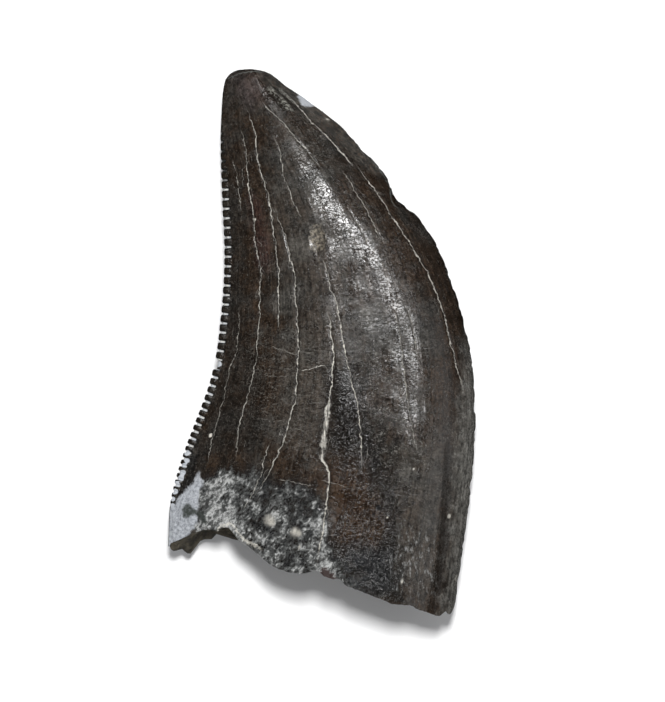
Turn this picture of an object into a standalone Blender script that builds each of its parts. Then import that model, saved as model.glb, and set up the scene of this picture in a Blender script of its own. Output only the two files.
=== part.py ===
"""A fossil theropod tooth: one recurved crown with a serrated distal edge, a chipped
mesial edge, a worn tip and a broken base, lying on its inner (lingual) side.

Metres, +Z up. The tip points along +Y and the serrated edge faces -X. The origin is
under the middle of the tooth, at the height of what it lies on.
"""
import math
from collections import namedtuple

import bmesh
import bpy
import numpy as np

NAME = "tooth"
MILLIMETRE = 0.001

# Plan outline in millimetres, from the broken base to the tip. The distal edge runs
# over the ends of the denticles, the mesial edge is the smooth line before its chip.
DISTAL_EDGE = [
    (-7.36, -9.85), (-7.29, -8.03), (-7.05, -6.78), (-6.61, -5.34), (-6.13, -4.05),
    (-5.70, -2.94), (-5.32, -1.79), (-5.03, -0.45), (-4.89, 0.75), (-4.77, 1.95),
    (-4.69, 3.39), (-4.69, 4.83), (-4.77, 6.27), (-4.84, 8.00), (-4.88, 9.60),
    (-4.84, 10.90), (-4.77, 12.03), (-4.61, 12.70), (-4.15, 13.05), (-3.59, 13.11)]
MESIAL_EDGE = [
    (6.35, -12.76), (6.59, -11.10), (6.92, -8.80), (7.16, -6.88), (7.33, -4.77),
    (7.35, -3.33), (7.16, -0.73), (6.63, 1.57), (5.67, 4.26), (4.72, 6.02),
    (3.92, 7.18), (3.08, 8.13), (2.00, 9.15), (0.83, 10.40), (-0.61, 11.55),
    (-1.81, 12.34), (-2.18, 12.72), (-2.56, 12.93), (-3.06, 13.08), (-3.59, 13.11)]

# Broken edge of the base: (share of the way from distal to mesial, millimetres that
# the edge stands short of the straight line across the base).
OUTER_BREAK = [
    (0.00, 0.00), (0.01, -0.13), (0.03, -0.13), (0.06, 0.10), (0.12, 0.60), (0.17, 0.98),
    (0.28, 0.86), (0.34, 0.36), (0.42, 0.10), (0.52, 0.42), (0.57, 0.20), (0.60, 0.28),
    (0.65, 0.00), (0.78, -0.34), (0.84, -0.24), (0.94, -0.50), (0.98, -0.36), (1.00, 0.00)]
INNER_BREAK = [
    (0.00, 0.00), (0.045, 0.08), (0.06, -0.14), (0.075, -0.24), (0.10, 0.12), (0.16, 1.05),
    (0.26, 1.30), (0.38, 0.90), (0.50, 1.15), (0.62, 0.80), (0.74, 0.45), (0.86, 0.30),
    (0.95, 0.05), (1.00, 0.00)]
BREAK_REACH = 0.12          # share of the length over which the broken edge fades out
PULP_DEPTH = 2.0            # hollow of the pulp cavity in the broken base
PULP_WALL = (0.10, 0.34)    # shares of the way in between which the wall falls away
BREAK_ROUGHNESS, BREAK_WAVES = 0.12, 23.0

# Thickness through the crown (share of the length, millimetres), and how it divides.
THICKNESS = [(0.0, 7.6), (0.25, 7.1), (0.5, 6.0), (0.75, 4.3), (0.9, 2.9), (1.0, 2.0)]
OUTER_SHARE = 0.58          # share of the thickness on the outer (upper) side
TIP_ROUNDING = 0.93         # share of the length where the tip starts to round off

# Millimetres that the lying side clears the surface, along the serrated half and along
# the mesial half. It rests at the base, half way up the mesial half, and near the tip.
DISTAL_LIFT = [(0.0, 0.0), (0.1, 0.0), (0.5, 0.50), (0.8, 0.20), (0.92, 0.0), (1.0, 0.0)]
MESIAL_LIFT = [(0.0, 0.0), (0.1, 0.0), (0.25, 0.07), (0.4, 0.0), (0.65, 0.20), (0.92, 0.0),
               (1.0, 0.0)]
LIFT_TURN = (0.35, 0.65)    # shares of the width between which one gives way to the other
REST_DEPTH = 0.05           # what the resting spots are worn down by

# Shape across the crown, as shares of the way from distal to mesial.
CREST = 0.60                # line where the outer side is highest
DISTAL_POWER = 1.6          # fall from the crest to the serrated edge
ROUND_POWER = 2.3           # rounding of the mesial edge
KEEL_POWER = 1.7            # keel that the mesial edge narrows to near the tip
KEEL_START, KEEL_FULL = 0.45, 0.85
INNER_RISE, INNER_FALL = 0.30, 0.70
INNER_POWER = 2.0
HOLLOW_DEPTH = 0.40         # shallow valley along the inner side, at the base
HOLLOW_PLACE, HOLLOW_WIDTH, HOLLOW_REACH = 0.49, 0.10, 0.45
GROOVE_DEPTH = 0.12         # groove beside the mesial edge, at the base
GROOVE_PLACE, GROOVE_WIDTH, GROOVE_REACH = 0.93, 0.018, 0.40

# Chip in the mesial edge: (share of the edge's length, millimetres cut away).
MESIAL_CHIP = [
    (0.0, 0.0), (0.58, 0.0), (0.64, 0.17), (0.655, 0.34), (0.678, 0.52), (0.697, 0.33),
    (0.718, 0.15), (0.765, 0.0), (1.0, 0.0)]
CHIP_BREADTH = 0.16         # share of the width that the chip draws in

COLOUR = (0.075, 0.066, 0.058, 1.0)
ROUGHNESS = 0.42

# Denticles on the distal edge, in millimetres along the edge from the base.
DENTICLE_START, DENTICLE_END = 2.0, 20.2
DENTICLE_PITCH = 0.462      # spacing towards the tip
PITCH_LOSS, PITCH_RANGE = 0.137, 5.95
DENTICLE_HEIGHT = 0.38
FULL_HEIGHT_FROM, WORN_FROM, WORN_HEIGHT = 3.4, 17.6, 0.12
MISSING_DENTICLE = 9.1
GAP_SHARE = 0.88            # depth of a gap, as a share of a denticle's height
EDGE_THICKNESS, ROOT_THICKNESS = 0.20, 0.52
ROOT_MARGIN = 0.06          # crown edge behind the bottom of the gaps

# Mesh density. The serrated edge has four fine rows to each row of the crown.
CURVE_STEPS = 24
ROWS_PER_CELL = 4
GAP_PHASES = (0.06, 0.17, 0.83, 0.94)       # gap, denticle, denticle, gap
PLAIN_PHASES = (0.0, 0.25, 0.5, 0.75)
BASE_CELLS = 5
TIP_CELLS = 9
TIP_LAST = 0.988            # last section before the point of the tip
COLUMNS = 20
COLUMN_CLUSTER = 0.65       # how much closer the columns stand beside the two edges
CAP_LEVELS = 8

Blade = namedtuple("Blade", "root_top edge_top edge_low root_low")
Section = namedtuple("Section", "top far low")


def smooth_path(points, steps):
    """Samples along the Catmull-Rom curve through the points."""
    knots = np.array(points, dtype=float)
    before = 2.0 * knots[0] - knots[1]
    after = 2.0 * knots[-1] - knots[-2]
    padded = np.vstack([before, knots, after])
    u = np.linspace(0.0, 1.0, steps, endpoint=False)[:, None]
    pieces = []
    for p0, p1, p2, p3 in zip(padded, padded[1:], padded[2:], padded[3:]):
        linear = (p2 - p0) * u
        square = (2.0 * p0 - 5.0 * p1 + 4.0 * p2 - p3) * u ** 2
        cube = (3.0 * p1 - p0 - 3.0 * p2 + p3) * u ** 3
        pieces.append(0.5 * (2.0 * p1 + linear + square + cube))
    return np.vstack(pieces + [knots[-1:]])


class EdgeCurve:
    """A plan curve that is read by its share of length."""

    def __init__(self, points):
        self.path = smooth_path(points, CURVE_STEPS)
        runs = np.hypot(*np.diff(self.path, axis=0).T)
        travelled = np.concatenate([[0.0], np.cumsum(runs)])
        self.length = travelled[-1]
        self.share = travelled / self.length

    def at(self, share):
        x = np.interp(share, self.share, self.path[:, 0])
        y = np.interp(share, self.share, self.path[:, 1])
        return np.stack([x, y], axis=-1)

    def inward(self, share, step=0.004):
        """Unit normals on the right-hand side of the direction of travel."""
        ahead = self.at(np.minimum(share + step, 1.0))
        behind = self.at(np.maximum(share - step, 0.0))
        along = ahead - behind
        along /= np.linalg.norm(along, axis=-1, keepdims=True)
        return np.stack([along[..., 1], -along[..., 0]], axis=-1)


def table(knots, x):
    """A smooth function through (x, value) knots that turns only at the knots."""
    at, value = np.array(knots, dtype=float).T
    secant = np.diff(value) / np.diff(at)
    before, after = secant[:-1], secant[1:]
    same_way = before * after > 0.0
    total = np.where(same_way, before + after, 1.0)
    inner = np.where(same_way, 2.0 * before * after / total, 0.0)
    slope = np.concatenate([secant[:1], inner, secant[-1:]])
    cell = np.clip(np.searchsorted(at, x, side="right") - 1, 0, len(at) - 2)
    width = at[cell + 1] - at[cell]
    u = np.clip((x - at[cell]) / width, 0.0, 1.0)
    turn = u * u * (3.0 - 2.0 * u)
    leaving = u * (1.0 - u) ** 2 * width * slope[cell]
    arriving = u * u * (u - 1.0) * width * slope[cell + 1]
    return value[cell] + (value[cell + 1] - value[cell]) * turn + leaving + arriving


def bell(x, place, width):
    return np.exp(-(((x - place) / width) ** 2))


def fade(x, reach):
    """1 at zero, easing to 0 at the given reach."""
    return np.clip(1.0 - x / reach, 0.0, 1.0) ** 2


def ease(x, start, end):
    """0 up to the start, easing to 1 at the end."""
    share = np.clip((x - start) / (end - start), 0.0, 1.0)
    return share * share * (3.0 - 2.0 * share)


distal = EdgeCurve(DISTAL_EDGE)
mesial = EdgeCurve(MESIAL_EDGE)


def denticle_height(arc):
    """Denticle height along the distal edge: small at the base, worn at the tip."""
    grown = np.clip((arc - DENTICLE_START) / (FULL_HEIGHT_FROM - DENTICLE_START), 0.0, 1.0)
    wear = np.clip((arc - WORN_FROM) / (DENTICLE_END - WORN_FROM), 0.0, 1.0)
    height = DENTICLE_HEIGHT * np.sqrt(grown)
    height = height + (WORN_HEIGHT - height) * wear
    past_end = np.clip((arc - DENTICLE_END) / (distal.length - DENTICLE_END), 0.0, 1.0)
    return np.where(arc < DENTICLE_START, 0.0, height) * (1.0 - past_end)


def edge_rows():
    """Distance along the distal edge, and depth of the gap there, for every fine row."""
    rows = []
    for start in np.linspace(0.0, DENTICLE_START, BASE_CELLS, endpoint=False):
        width = DENTICLE_START / BASE_CELLS
        rows += [(start + phase * width, 0.0) for phase in PLAIN_PHASES]
    start = DENTICLE_START
    while start < DENTICLE_END:
        growth = (start - DENTICLE_START) / PITCH_RANGE
        pitch = DENTICLE_PITCH - PITCH_LOSS * math.exp(-growth ** 2)
        missing = start <= MISSING_DENTICLE < start + pitch
        for phase in GAP_PHASES:
            in_gap = missing or phase in (GAP_PHASES[0], GAP_PHASES[-1])
            rows.append((start + phase * pitch, GAP_SHARE if in_gap else 0.0))
        start += pitch
    last = TIP_LAST * distal.length
    for cell in range(TIP_CELLS):
        low = start + (last - start) * math.sin(0.5 * math.pi * cell / TIP_CELLS)
        high = start + (last - start) * math.sin(0.5 * math.pi * (cell + 1) / TIP_CELLS)
        rows += [(low + phase * (high - low), 0.0) for phase in PLAIN_PHASES]
    rows.append((last, 0.0))
    return np.array(rows).T


def rounding(t):
    """Share of the thickness that is left where the tip rounds off."""
    share = np.clip((t - TIP_ROUNDING) / (1.0 - TIP_ROUNDING), 0.0, 1.0)
    return np.sqrt(1.0 - share ** 2)


def middle_height(s, t):
    """Height of the surface half way through the crown, which meets both edges."""
    turn = ease(s, *LIFT_TURN)
    clearance = table(DISTAL_LIFT, t) * (1.0 - turn) + table(MESIAL_LIFT, t) * turn
    return (1.0 - OUTER_SHARE) * table(THICKNESS, t) + clearance - REST_DEPTH


def mesial_fall(share, t):
    """Fall to the mesial edge: round at the base, a keel near the tip."""
    keel = ease(t, KEEL_START, KEEL_FULL)
    round_edge = np.sqrt(1.0 - share ** ROUND_POWER)
    return round_edge + (1.0 - share ** KEEL_POWER - round_edge) * keel


def outer_profile(s, t):
    """Height of the outer side above the middle, as a share of its greatest."""
    rising = 1.0 - np.clip(1.0 - s / CREST, 0.0, 1.0) ** DISTAL_POWER
    falling = mesial_fall(np.clip((s - CREST) / (1.0 - CREST), 0.0, 1.0), t)
    return np.where(s < CREST, rising, falling)


def inner_profile(s, t):
    """Depth of the inner side below the middle, as a share of its greatest."""
    rising = 1.0 - np.clip(1.0 - s / INNER_RISE, 0.0, 1.0) ** INNER_POWER
    falling = mesial_fall(np.clip((s - INNER_FALL) / (1.0 - INNER_FALL), 0.0, 1.0), t)
    return np.where(s < INNER_FALL, rising, falling)


def crown_plan(s, t, root, broken):
    """Plan position across a section, from the root of the denticles to the mesial edge."""
    far = mesial.at(t)
    chord = far - root
    across = chord / np.linalg.norm(chord, axis=-1, keepdims=True)
    towards_tip = np.stack([-across[..., 1], across[..., 0]], axis=-1)
    draw = table(MESIAL_CHIP, t) * np.clip((s - 1.0 + CHIP_BREADTH) / CHIP_BREADTH, 0.0, 1.0) ** 2
    short = table(broken, s) * fade(t, BREAK_REACH)
    return root + chord * s[..., None] - across * draw[..., None] + towards_tip * short[..., None]


def outer_height(s, t):
    left = rounding(t)
    profile = outer_profile(s, t)
    blade = 0.5 * ROOT_THICKNESS * (1.0 - s) * (1.0 - profile)
    groove = GROOVE_DEPTH * bell(s, GROOVE_PLACE, GROOVE_WIDTH) * fade(t, GROOVE_REACH)
    rise = OUTER_SHARE * table(THICKNESS, t) * profile
    return middle_height(s, t) + (blade + rise) * left - groove


def inner_height(s, t):
    left = rounding(t)
    profile = inner_profile(s, t)
    blade = 0.5 * ROOT_THICKNESS * (1.0 - s) * (1.0 - profile)
    hollow = HOLLOW_DEPTH * bell(s, HOLLOW_PLACE, HOLLOW_WIDTH) * fade(t, HOLLOW_REACH)
    fall = (1.0 - OUTER_SHARE) * table(THICKNESS, t) * profile
    return np.maximum(middle_height(s, t) - (blade + fall) * left + hollow, 0.0)


def add_points(mesh, plan, height):
    """Adds points, given in millimetres, and returns their vertices."""
    points = np.column_stack([plan, height]) * MILLIMETRE
    return [mesh.verts.new(tuple(point)) for point in points]


def add_blade(mesh, arc, gap):
    """The chains along the denticles' roots and ends, above and below."""
    t = arc / distal.length
    height = denticle_height(arc)
    inward = distal.inward(t)
    edge = distal.at(t) + inward * (height * gap)[:, None]
    root = distal.at(t) + inward * (height + ROOT_MARGIN * (1.0 - t))[:, None]
    middle = middle_height(np.zeros(len(t)), t)
    root_half = 0.5 * ROOT_THICKNESS * rounding(t)
    edge_half = 0.5 * rounding(t) * (EDGE_THICKNESS + (ROOT_THICKNESS - EDGE_THICKNESS) * gap)
    blade = Blade(
        root_top=add_points(mesh, root, middle + root_half),
        edge_top=add_points(mesh, edge, middle + edge_half),
        edge_low=add_points(mesh, edge, middle - edge_half),
        root_low=add_points(mesh, root, middle - root_half))
    return blade, root


def add_section(mesh, t, root):
    """One row of points over the outer side, the mesial edge and the inner side."""
    even = np.arange(1, COLUMNS + 1) / COLUMNS
    clustered = 0.5 * (1.0 - np.cos(math.pi * even))
    s = COLUMN_CLUSTER * clustered + (1.0 - COLUMN_CLUSTER) * even
    place = np.full(COLUMNS, t)
    outer = crown_plan(s, place, root, OUTER_BREAK)
    inner = crown_plan(s, place, root, INNER_BREAK)
    far = add_points(mesh, outer[-1:], middle_height(s[-1:], place[-1:]))
    top = add_points(mesh, outer[:-1], outer_height(s, place)[:-1])
    low = add_points(mesh, inner[:-1], inner_height(s, place)[:-1])
    return Section(top, far[0], low)


def ring(blade, row, section):
    """The vertices once around the tooth, from the denticle's end over the outer side."""
    start = [blade.edge_top[row], blade.root_top[row]]
    end = [blade.root_low[row], blade.edge_low[row]]
    return start + section.top + [section.far] + section.low[::-1] + end


def join_blade(mesh, blade):
    """The faces of the denticles and the gaps between them."""
    for chain, following in zip(blade, blade[1:]):
        for row in range(len(chain) - 1):
            mesh.faces.new((chain[row], chain[row + 1], following[row + 1], following[row]))


def join_sections(mesh, blade, sections):
    """The faces of the crown, whose first and last strips meet the finer blade."""
    for step, (here, there) in enumerate(zip(sections, sections[1:])):
        row = step * ROWS_PER_CELL
        rows = slice(row, row + ROWS_PER_CELL + 1)
        mesh.faces.new((here.top[0], there.top[0], *reversed(blade.root_top[rows])))
        mesh.faces.new((there.low[0], here.low[0], *blade.root_low[rows]))
        near = here.top + [here.far] + here.low[::-1]
        beyond = there.top + [there.far] + there.low[::-1]
        for corner in range(len(near) - 1):
            after = corner + 1
            mesh.faces.new((near[corner], near[after], beyond[after], beyond[corner]))


def close_tip(mesh, blade, section):
    """Brings the last section together in the point of the tip."""
    end = np.ones(1)
    apex = add_points(mesh, distal.at(end), middle_height(0.5 * end, end))[0]
    last = ring(blade, -1, section)
    for here, there in zip(last, last[1:] + last[:1]):
        mesh.faces.new((here, there, apex))


def pulp_hollow(along, share):
    """Depth of the broken face: a rough rim around the hollow of the pulp cavity."""
    wall = ease(share, *PULP_WALL) * ease(1.0 - share, *PULP_WALL)
    ends = ease(along, *PULP_WALL) * ease(1.0 - along, *PULP_WALL)
    rough = math.sin(math.pi * share) * np.sin(BREAK_WAVES * along + share)
    return PULP_DEPTH * wall * ends + BREAK_ROUGHNESS * rough


def close_base(mesh, blade, section):
    """Closes the broken base with a rough face that sinks into the pulp cavity."""
    upper = np.array([vert.co for vert in section.top]) / MILLIMETRE
    lower = np.array([vert.co for vert in section.low]) / MILLIMETRE
    along = np.linspace(0.0, 1.0, len(upper))
    columns = [section.top]
    for share in np.arange(1, CAP_LEVELS) / CAP_LEVELS:
        points = upper + (lower - upper) * share
        points[:, 1] += pulp_hollow(along, share)
        columns.append(add_points(mesh, points[:, :2], points[:, 2]))
    columns.append(section.low)
    for above, below in zip(columns, columns[1:]):
        for here in range(len(above) - 1):
            there = here + 1
            mesh.faces.new((above[here], below[here], below[there], above[there]))
    corners = [chain[0] for chain in blade]
    mesh.faces.new(corners)
    mesh.faces.new((corners[0], corners[-1], *[row[0] for row in reversed(columns)]))
    mesh.faces.new((section.far, *[row[-1] for row in columns]))


def build_crown():
    """The closed mesh of the tooth."""
    mesh = bmesh.new()
    arc, gap = edge_rows()
    blade, root = add_blade(mesh, arc, gap)
    sections = []
    for row in range(0, len(arc), ROWS_PER_CELL):
        sections.append(add_section(mesh, arc[row] / distal.length, root[row]))
    join_blade(mesh, blade)
    join_sections(mesh, blade, sections)
    close_tip(mesh, blade, sections[-1])
    close_base(mesh, blade, sections[0])
    bmesh.ops.triangulate(mesh, faces=mesh.faces[:])
    bmesh.ops.recalc_face_normals(mesh, faces=mesh.faces[:])
    return mesh


def enamel():
    """Dark brown-grey fossil enamel with a dull polish."""
    material = bpy.data.materials.new("fossil_enamel")
    material.use_nodes = True
    shader = material.node_tree.nodes["Principled BSDF"]
    shader.inputs["Base Color"].default_value = COLOUR
    shader.inputs["Roughness"].default_value = ROUGHNESS
    shader.inputs["Metallic"].default_value = 0.0
    return material


def main():
    for item in list(bpy.data.objects):
        bpy.data.objects.remove(item, do_unlink=True)
    crown = build_crown()
    data = bpy.data.meshes.new(NAME)
    crown.to_mesh(data)
    crown.free()
    data.shade_smooth()
    data.materials.append(enamel())
    tooth = bpy.data.objects.new(NAME, data)
    bpy.context.scene.collection.objects.link(tooth)


main()
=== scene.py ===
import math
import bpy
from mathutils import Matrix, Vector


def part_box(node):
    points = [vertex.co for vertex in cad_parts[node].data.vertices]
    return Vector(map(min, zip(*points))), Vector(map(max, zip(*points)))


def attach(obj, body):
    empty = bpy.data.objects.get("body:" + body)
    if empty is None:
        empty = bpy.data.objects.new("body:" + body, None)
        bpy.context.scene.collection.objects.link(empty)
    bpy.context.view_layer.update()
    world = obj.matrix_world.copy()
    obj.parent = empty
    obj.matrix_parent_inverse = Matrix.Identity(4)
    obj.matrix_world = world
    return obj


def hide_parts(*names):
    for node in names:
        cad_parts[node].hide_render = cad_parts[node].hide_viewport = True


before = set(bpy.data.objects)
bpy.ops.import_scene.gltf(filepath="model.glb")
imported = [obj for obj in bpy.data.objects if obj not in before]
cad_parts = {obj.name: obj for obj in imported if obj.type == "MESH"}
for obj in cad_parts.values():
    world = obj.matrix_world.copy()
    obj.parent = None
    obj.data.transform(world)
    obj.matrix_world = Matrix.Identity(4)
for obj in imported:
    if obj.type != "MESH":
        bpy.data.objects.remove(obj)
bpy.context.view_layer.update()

# A fossil theropod tooth in fine detail: dark enamel with pale hairline cracks, rounded
# denticles with matrix in their gaps, a weathered and encrusted base, and a broken root
# end. Lengths are in millimetres unless a name says otherwise. The tip points along +Y,
# the serrated (distal) edge faces -X, and the crown lies on its inner side.
from types import SimpleNamespace

import bmesh
import bpy
import numpy as np
from mathutils import Vector, noise

MILLIMETRE = 0.001


def numbers(text):
    """Rows of numbers: commas part the numbers, and spaces the rows."""
    return [tuple(float(number) for number in row.split(",")) for row in text.split()]


def lines(text):
    """Lines to paint and carve, each as its points and then its width, strength and depth."""
    rows = [numbers(row) for row in text.split(";")]
    return [(row[1:], *row[0]) for row in rows]


def named(text):
    """Rows of numbers by the name that stands before them."""
    entries = (entry.split(maxsplit=1) for entry in text.split(";"))
    return {name: numbers(rows) for name, rows in entries}


# ---------------------------------------------------------------- shape of the crown
DISTAL_EDGE = numbers("""
    -7.36,-9.85 -7.29,-8.03 -7.05,-6.78 -6.61,-5.34 -6.13,-4.05 -5.7,-2.94 -5.32,-1.79 -5.03,-0.45
    -4.89,0.75 -4.77,1.95 -4.69,3.39 -4.69,4.83 -4.77,6.27 -4.84,8 -4.88,9.6 -4.84,10.9 -4.77,12.03
    -4.61,12.7 -4.15,13.05 -3.59,13.11""")
MESIAL_EDGE = numbers("""
    6.35,-12.76 6.59,-11.1 6.92,-8.8 7.16,-6.88 7.33,-4.77 7.35,-3.33 7.16,-0.73 6.63,1.57
    5.67,4.26 4.72,6.02 3.92,7.18 3.08,8.13 2,9.15 0.83,10.4 -0.61,11.55 -1.81,12.34 -2.18,12.72
    -2.56,12.93 -3.06,13.08 -3.59,13.11""")

# Broken edge of the base: (share of the way from distal to mesial, how far the edge
# stands short of the straight line across the base).
OUTER_BREAK = numbers("""
    0,0.11 0.014,0.29 0.036,0.5 0.051,0.66 0.066,0.83 0.087,1.02 0.11,1.18 0.136,1.26 0.149,1.23
    0.168,1.48 0.189,1.52 0.208,1.3 0.231,1.05 0.258,0.91 0.297,0.68 0.336,0.38 0.376,0.18
    0.425,0.12 0.465,0.21 0.491,0.35 0.51,0.49 0.53,0.37 0.545,0.29 0.567,0.26 0.59,0.33 0.618,0.09
    0.651,0.02 0.695,-0.09 0.724,-0.16 0.761,-0.24 0.783,-0.32 0.817,-0.27 0.848,-0.22 0.875,-0.35
    0.907,-0.4 0.937,-0.48 0.951,-0.49 0.962,-0.34 0.971,-0.21 0.979,-0.32 0.987,-0.35 0.994,-0.24
    1,0""")
INNER_BREAK = numbers("""
    0,-0.01 0.007,-0.15 0.018,-0.19 0.029,-0.14 0.043,-0.05 0.056,-0.15 0.07,-0.23 0.081,-0.06
    0.088,0.22 0.096,0.45 0.111,0.6 0.138,0.7 0.148,0.95 0.166,0.93 0.202,0.87 0.241,0.9 0.267,1
    0.32,1.1 0.4,0.95 0.5,1.15 0.62,0.8 0.74,0.45 0.86,0.3 0.95,0.05 1,0""")
BREAK_REACH = 0.12
RAGGED = 0.035              # small raggedness along the broken edge
RAGGED_SCALE = 2.6
PULP_DEPTH = 2.0
PULP_WALL = (0.08, 0.30)
BREAK_ROUGHNESS = 0.16
BREAK_SCALE = 1.7

THICKNESS = [(0.0, 7.6), (0.25, 7.1), (0.5, 6.0), (0.75, 4.3), (0.9, 2.9), (1.0, 2.0)]
OUTER_SHARE = 0.58
TIP_ROUNDING = 0.93
DISTAL_LIFT = [(0.0, 0.0), (0.1, 0.0), (0.5, 0.50), (0.8, 0.20), (0.92, 0.0), (1.0, 0.0)]
MESIAL_LIFT = [(0.0, 0.0), (0.1, 0.0), (0.25, 0.07), (0.4, 0.0), (0.65, 0.20), (0.92, 0.0),
               (1.0, 0.0)]
LIFT_TURN = (0.35, 0.65)
REST_DEPTH = 0.05
CREST = 0.60
DISTAL_POWER = 1.6
ROUND_POWER = 2.3
KEEL_POWER = 1.7
KEEL_START, KEEL_FULL = 0.45, 0.85
INNER_RISE, INNER_FALL = 0.30, 0.70
INNER_POWER = 2.0
# Depth, place across the side, width and reach of the inner hollow and the outer groove.
HOLLOW = (0.40, 0.49, 0.10, 0.45)
GROOVE = (0.07, 0.93, 0.018, 0.40)

# Chip in the mesial edge: (share of the edge's length, depth cut away).
MESIAL_CHIP = numbers("""
    0,0 0.575,0 0.6125,0.1 0.633,0.14 0.6385,0.2 0.645,0.34 0.654,0.41 0.664,0.6 0.6727,0.58
    0.689,0.4 0.712,0.19 0.73,0.11 0.765,0 1,0""")
CHIP_BREADTH = 0.16
EDGE_WEAR, EDGE_WEAR_SCALE, EDGE_WEAR_SEED, EDGE_WEAR_FLOOR = 0.10, 1.3, 4.0, -0.2
NICK_BREADTH = 0.03

# Denticles, in millimetres along the distal edge from the base.
DENTICLE_START, DENTICLE_END = 2.0, 20.2
DENTICLE_PITCH = 0.462
PITCH_LOSS, PITCH_RANGE = 0.137, 5.95
DENTICLE_HEIGHT = 0.38
FULL_HEIGHT_FROM, WORN_FROM, WORN_HEIGHT = 3.4, 17.6, 0.12
MISSING_DENTICLE, MISSING_GAP = 9.1, 1.6
GAP_HALF = (0.22, 0.13)     # half of a gap, as a share of the spacing, at base and tip
GAP_OPEN = 0.30             # share of a denticle's height that the matrix leaves open
# Rows from one gap to the next: place as a share of the spacing, what is added to it in
# half gaps, how deep the gap is there, and if the crown has a row there too.
DENTICLE_ROWS = [
    (0.0, 0.0, 1.0, True), (0.0, 0.55, 0.95, False), (0.0, 1.0, 0.30, False),
    (0.25, 0.12, 0.03, True), (0.5, 0.0, 0.0, True), (0.75, 0.0, 0.03, True),
    (1.0, -1.0, 0.30, False), (1.0, -0.55, 0.95, False)]
EDGE_THICKNESS, ROOT_THICKNESS = 0.26, 0.52
EDGE_NARROWING, BLADE_POWER = 0.75, 0.6
FILL_THICKNESS = 0.24
FILL_SWELLS, FILL_ENDS = 0.62, 0.68     # on the way from the edge to the root
ROOT_MARGIN = 0.06

# ---------------------------------------------------------------- fineness of the mesh
CURVE_STEPS = 24
BASE_CELLS, TIP_CELLS = 10, 12
TIP_LAST = 0.992
OUTER_COLUMNS = 288
INNER_COLUMNS = OUTER_COLUMNS // 4
COLUMN_CLUSTER = 0.45
BLADE_STEPS = (0.0, 0.12, 0.35, 0.68, 1.0)
COLUMNS_RATIO = OUTER_COLUMNS // INNER_COLUMNS
CAP_LEVELS = 44
SMOOTH_ANGLE = math.radians(50)

# ---------------------------------------------------------------- marks on the outer side
# Cracks in the enamel, seen in plan: points from base to tip, width, strength and depth.
CRACKS = lines("""
    0.055,0.85,0.03 -4.08,-5.92 -3.97,-4.19 -3.69,-3.18 -3.25,-1.74 -3.06,0.13 -2.92,1.95
    -2.92,3.35 -3.16,4.64 -3.3,6.37 -3.48,7.23 -3.64,9.11 -3.97,10.55;
    0.06,0.85,0.03 -2.01,0.13 -2.05,2.43 -2.05,3.49 -2.32,5.46 -2.58,6.99 -2.97,8.19 -3.16,9.15
    -3.11,9.68 -3.35,10.52 -3.73,11.41;
    0.062,0.9,0.035 -3.49,-7.79 -3.21,-7.41 -2.49,-6.25 -2.1,-5.49 -1.67,-4.29 -1.29,-2.99
    -1.14,-1.55 -1.09,0.13 -1.24,1.95 -1.33,3.39 -1.77,5.07 -2.1,5.84 -2.32,6.66;
    0.045,0.85,0.02 -0.95,5.79 -1.29,6.51 -1.53,7.19 -1.86,7.86 -1.96,9.01 -2.29,9.83;
    0.05,0.8,0.025 0.06,8.1 -0.57,8.91 -1.19,9.59 -1.72,10.31 -2.29,10.88 -2.87,11.46;
    0.065,0.95,0.035 1.55,8.24 0.54,9.49 -0.54,10.55 -1.53,11.65;
    0.055,0.85,0.03 6.83,-2.65 6.63,-1.93 6.2,-0.35 6.01,0.37 5.82,1.23 5.48,2.24 5.13,3.11
    4.59,4.02 4.04,4.88 3.42,5.84 2.7,6.95 2.03,7.86 1.35,8.82;
    0.06,0.95,0.02 1.88,-6.25 1.88,-5.01 1.79,-3.76 1.64,-2.8 1.4,-1.93 1.04,-0.25 0.92,0.71
    0.78,1.62 0.49,2.34 0.25,3.3 -0.04,4.09;
    0.08,0.95,0.03 -0.33,-10.81 -0.04,-9.37 0.13,-8.32 0.3,-7.41 0.35,-6.45 0.25,-5.97 0.01,-5.53
    0.18,-3.95 0.35,-2.89 0.49,-1.89 0.59,-0.97 0.39,0.71 0.25,1.62;
    0.045,0.75,0.02 3.01,4.55 2.6,5.27 2.12,6.18 1.69,6.95 1.26,7.67 0.87,8.24;
    0.042,0.6,0.015 2.27,4.45 2.03,4.98 1.64,5.7 1.21,6.42;
    0.048,0.75,0.02 4.57,-5.44 4.19,-3.76 4.02,-2.56 3.88,-1.21 3.71,0.18 3.51,1.23 2.99,1.86;
    0.042,0.6,0.015 4.47,-0.59 4.33,0.71 3.97,1.71;
    0.04,0.55,0.015 -5.58,-6.16 -5.17,-4.57 -4.69,-2.8 -4.43,-1.55 -4.07,-0.45 -3.93,0.85
    -3.95,1.76;
    0.04,0.5,0.015 -3.88,6.13 -3.93,6.95 -4.08,7.86 -4.31,8.77;
    0.048,0.75,0.02 -3.78,-8.13 -3.25,-7.21 -2.88,-6.25 -2.44,-4.81""")
# Cracks that run across the crown: the same, but with each point given as (y, x).
CROSS_CRACKS = lines("""
    0.04,0.45,0 -0.25,-2.44 -0.45,-1.89 -0.69,-1.09;
    0.045,0.75,0 -1.41,-1 -1.31,-0.47 -1.17,0.06 -1.26,0.3 -1.74,0.36;
    0.036,0.35,0 -1.6,-2.8 -1.75,-2.2 -1.7,-1.5;
    0.036,0.4,0 -6.53,-2.1 -6.73,-1.1 -6.88,-0.4;
    0.036,0.3,0 -6.6,-0.1 -6.75,0.6 -6.9,1.3;
    0.036,0.35,0 6.05,-0.3 6.1,0.45 5.85,1.1""")
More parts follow.
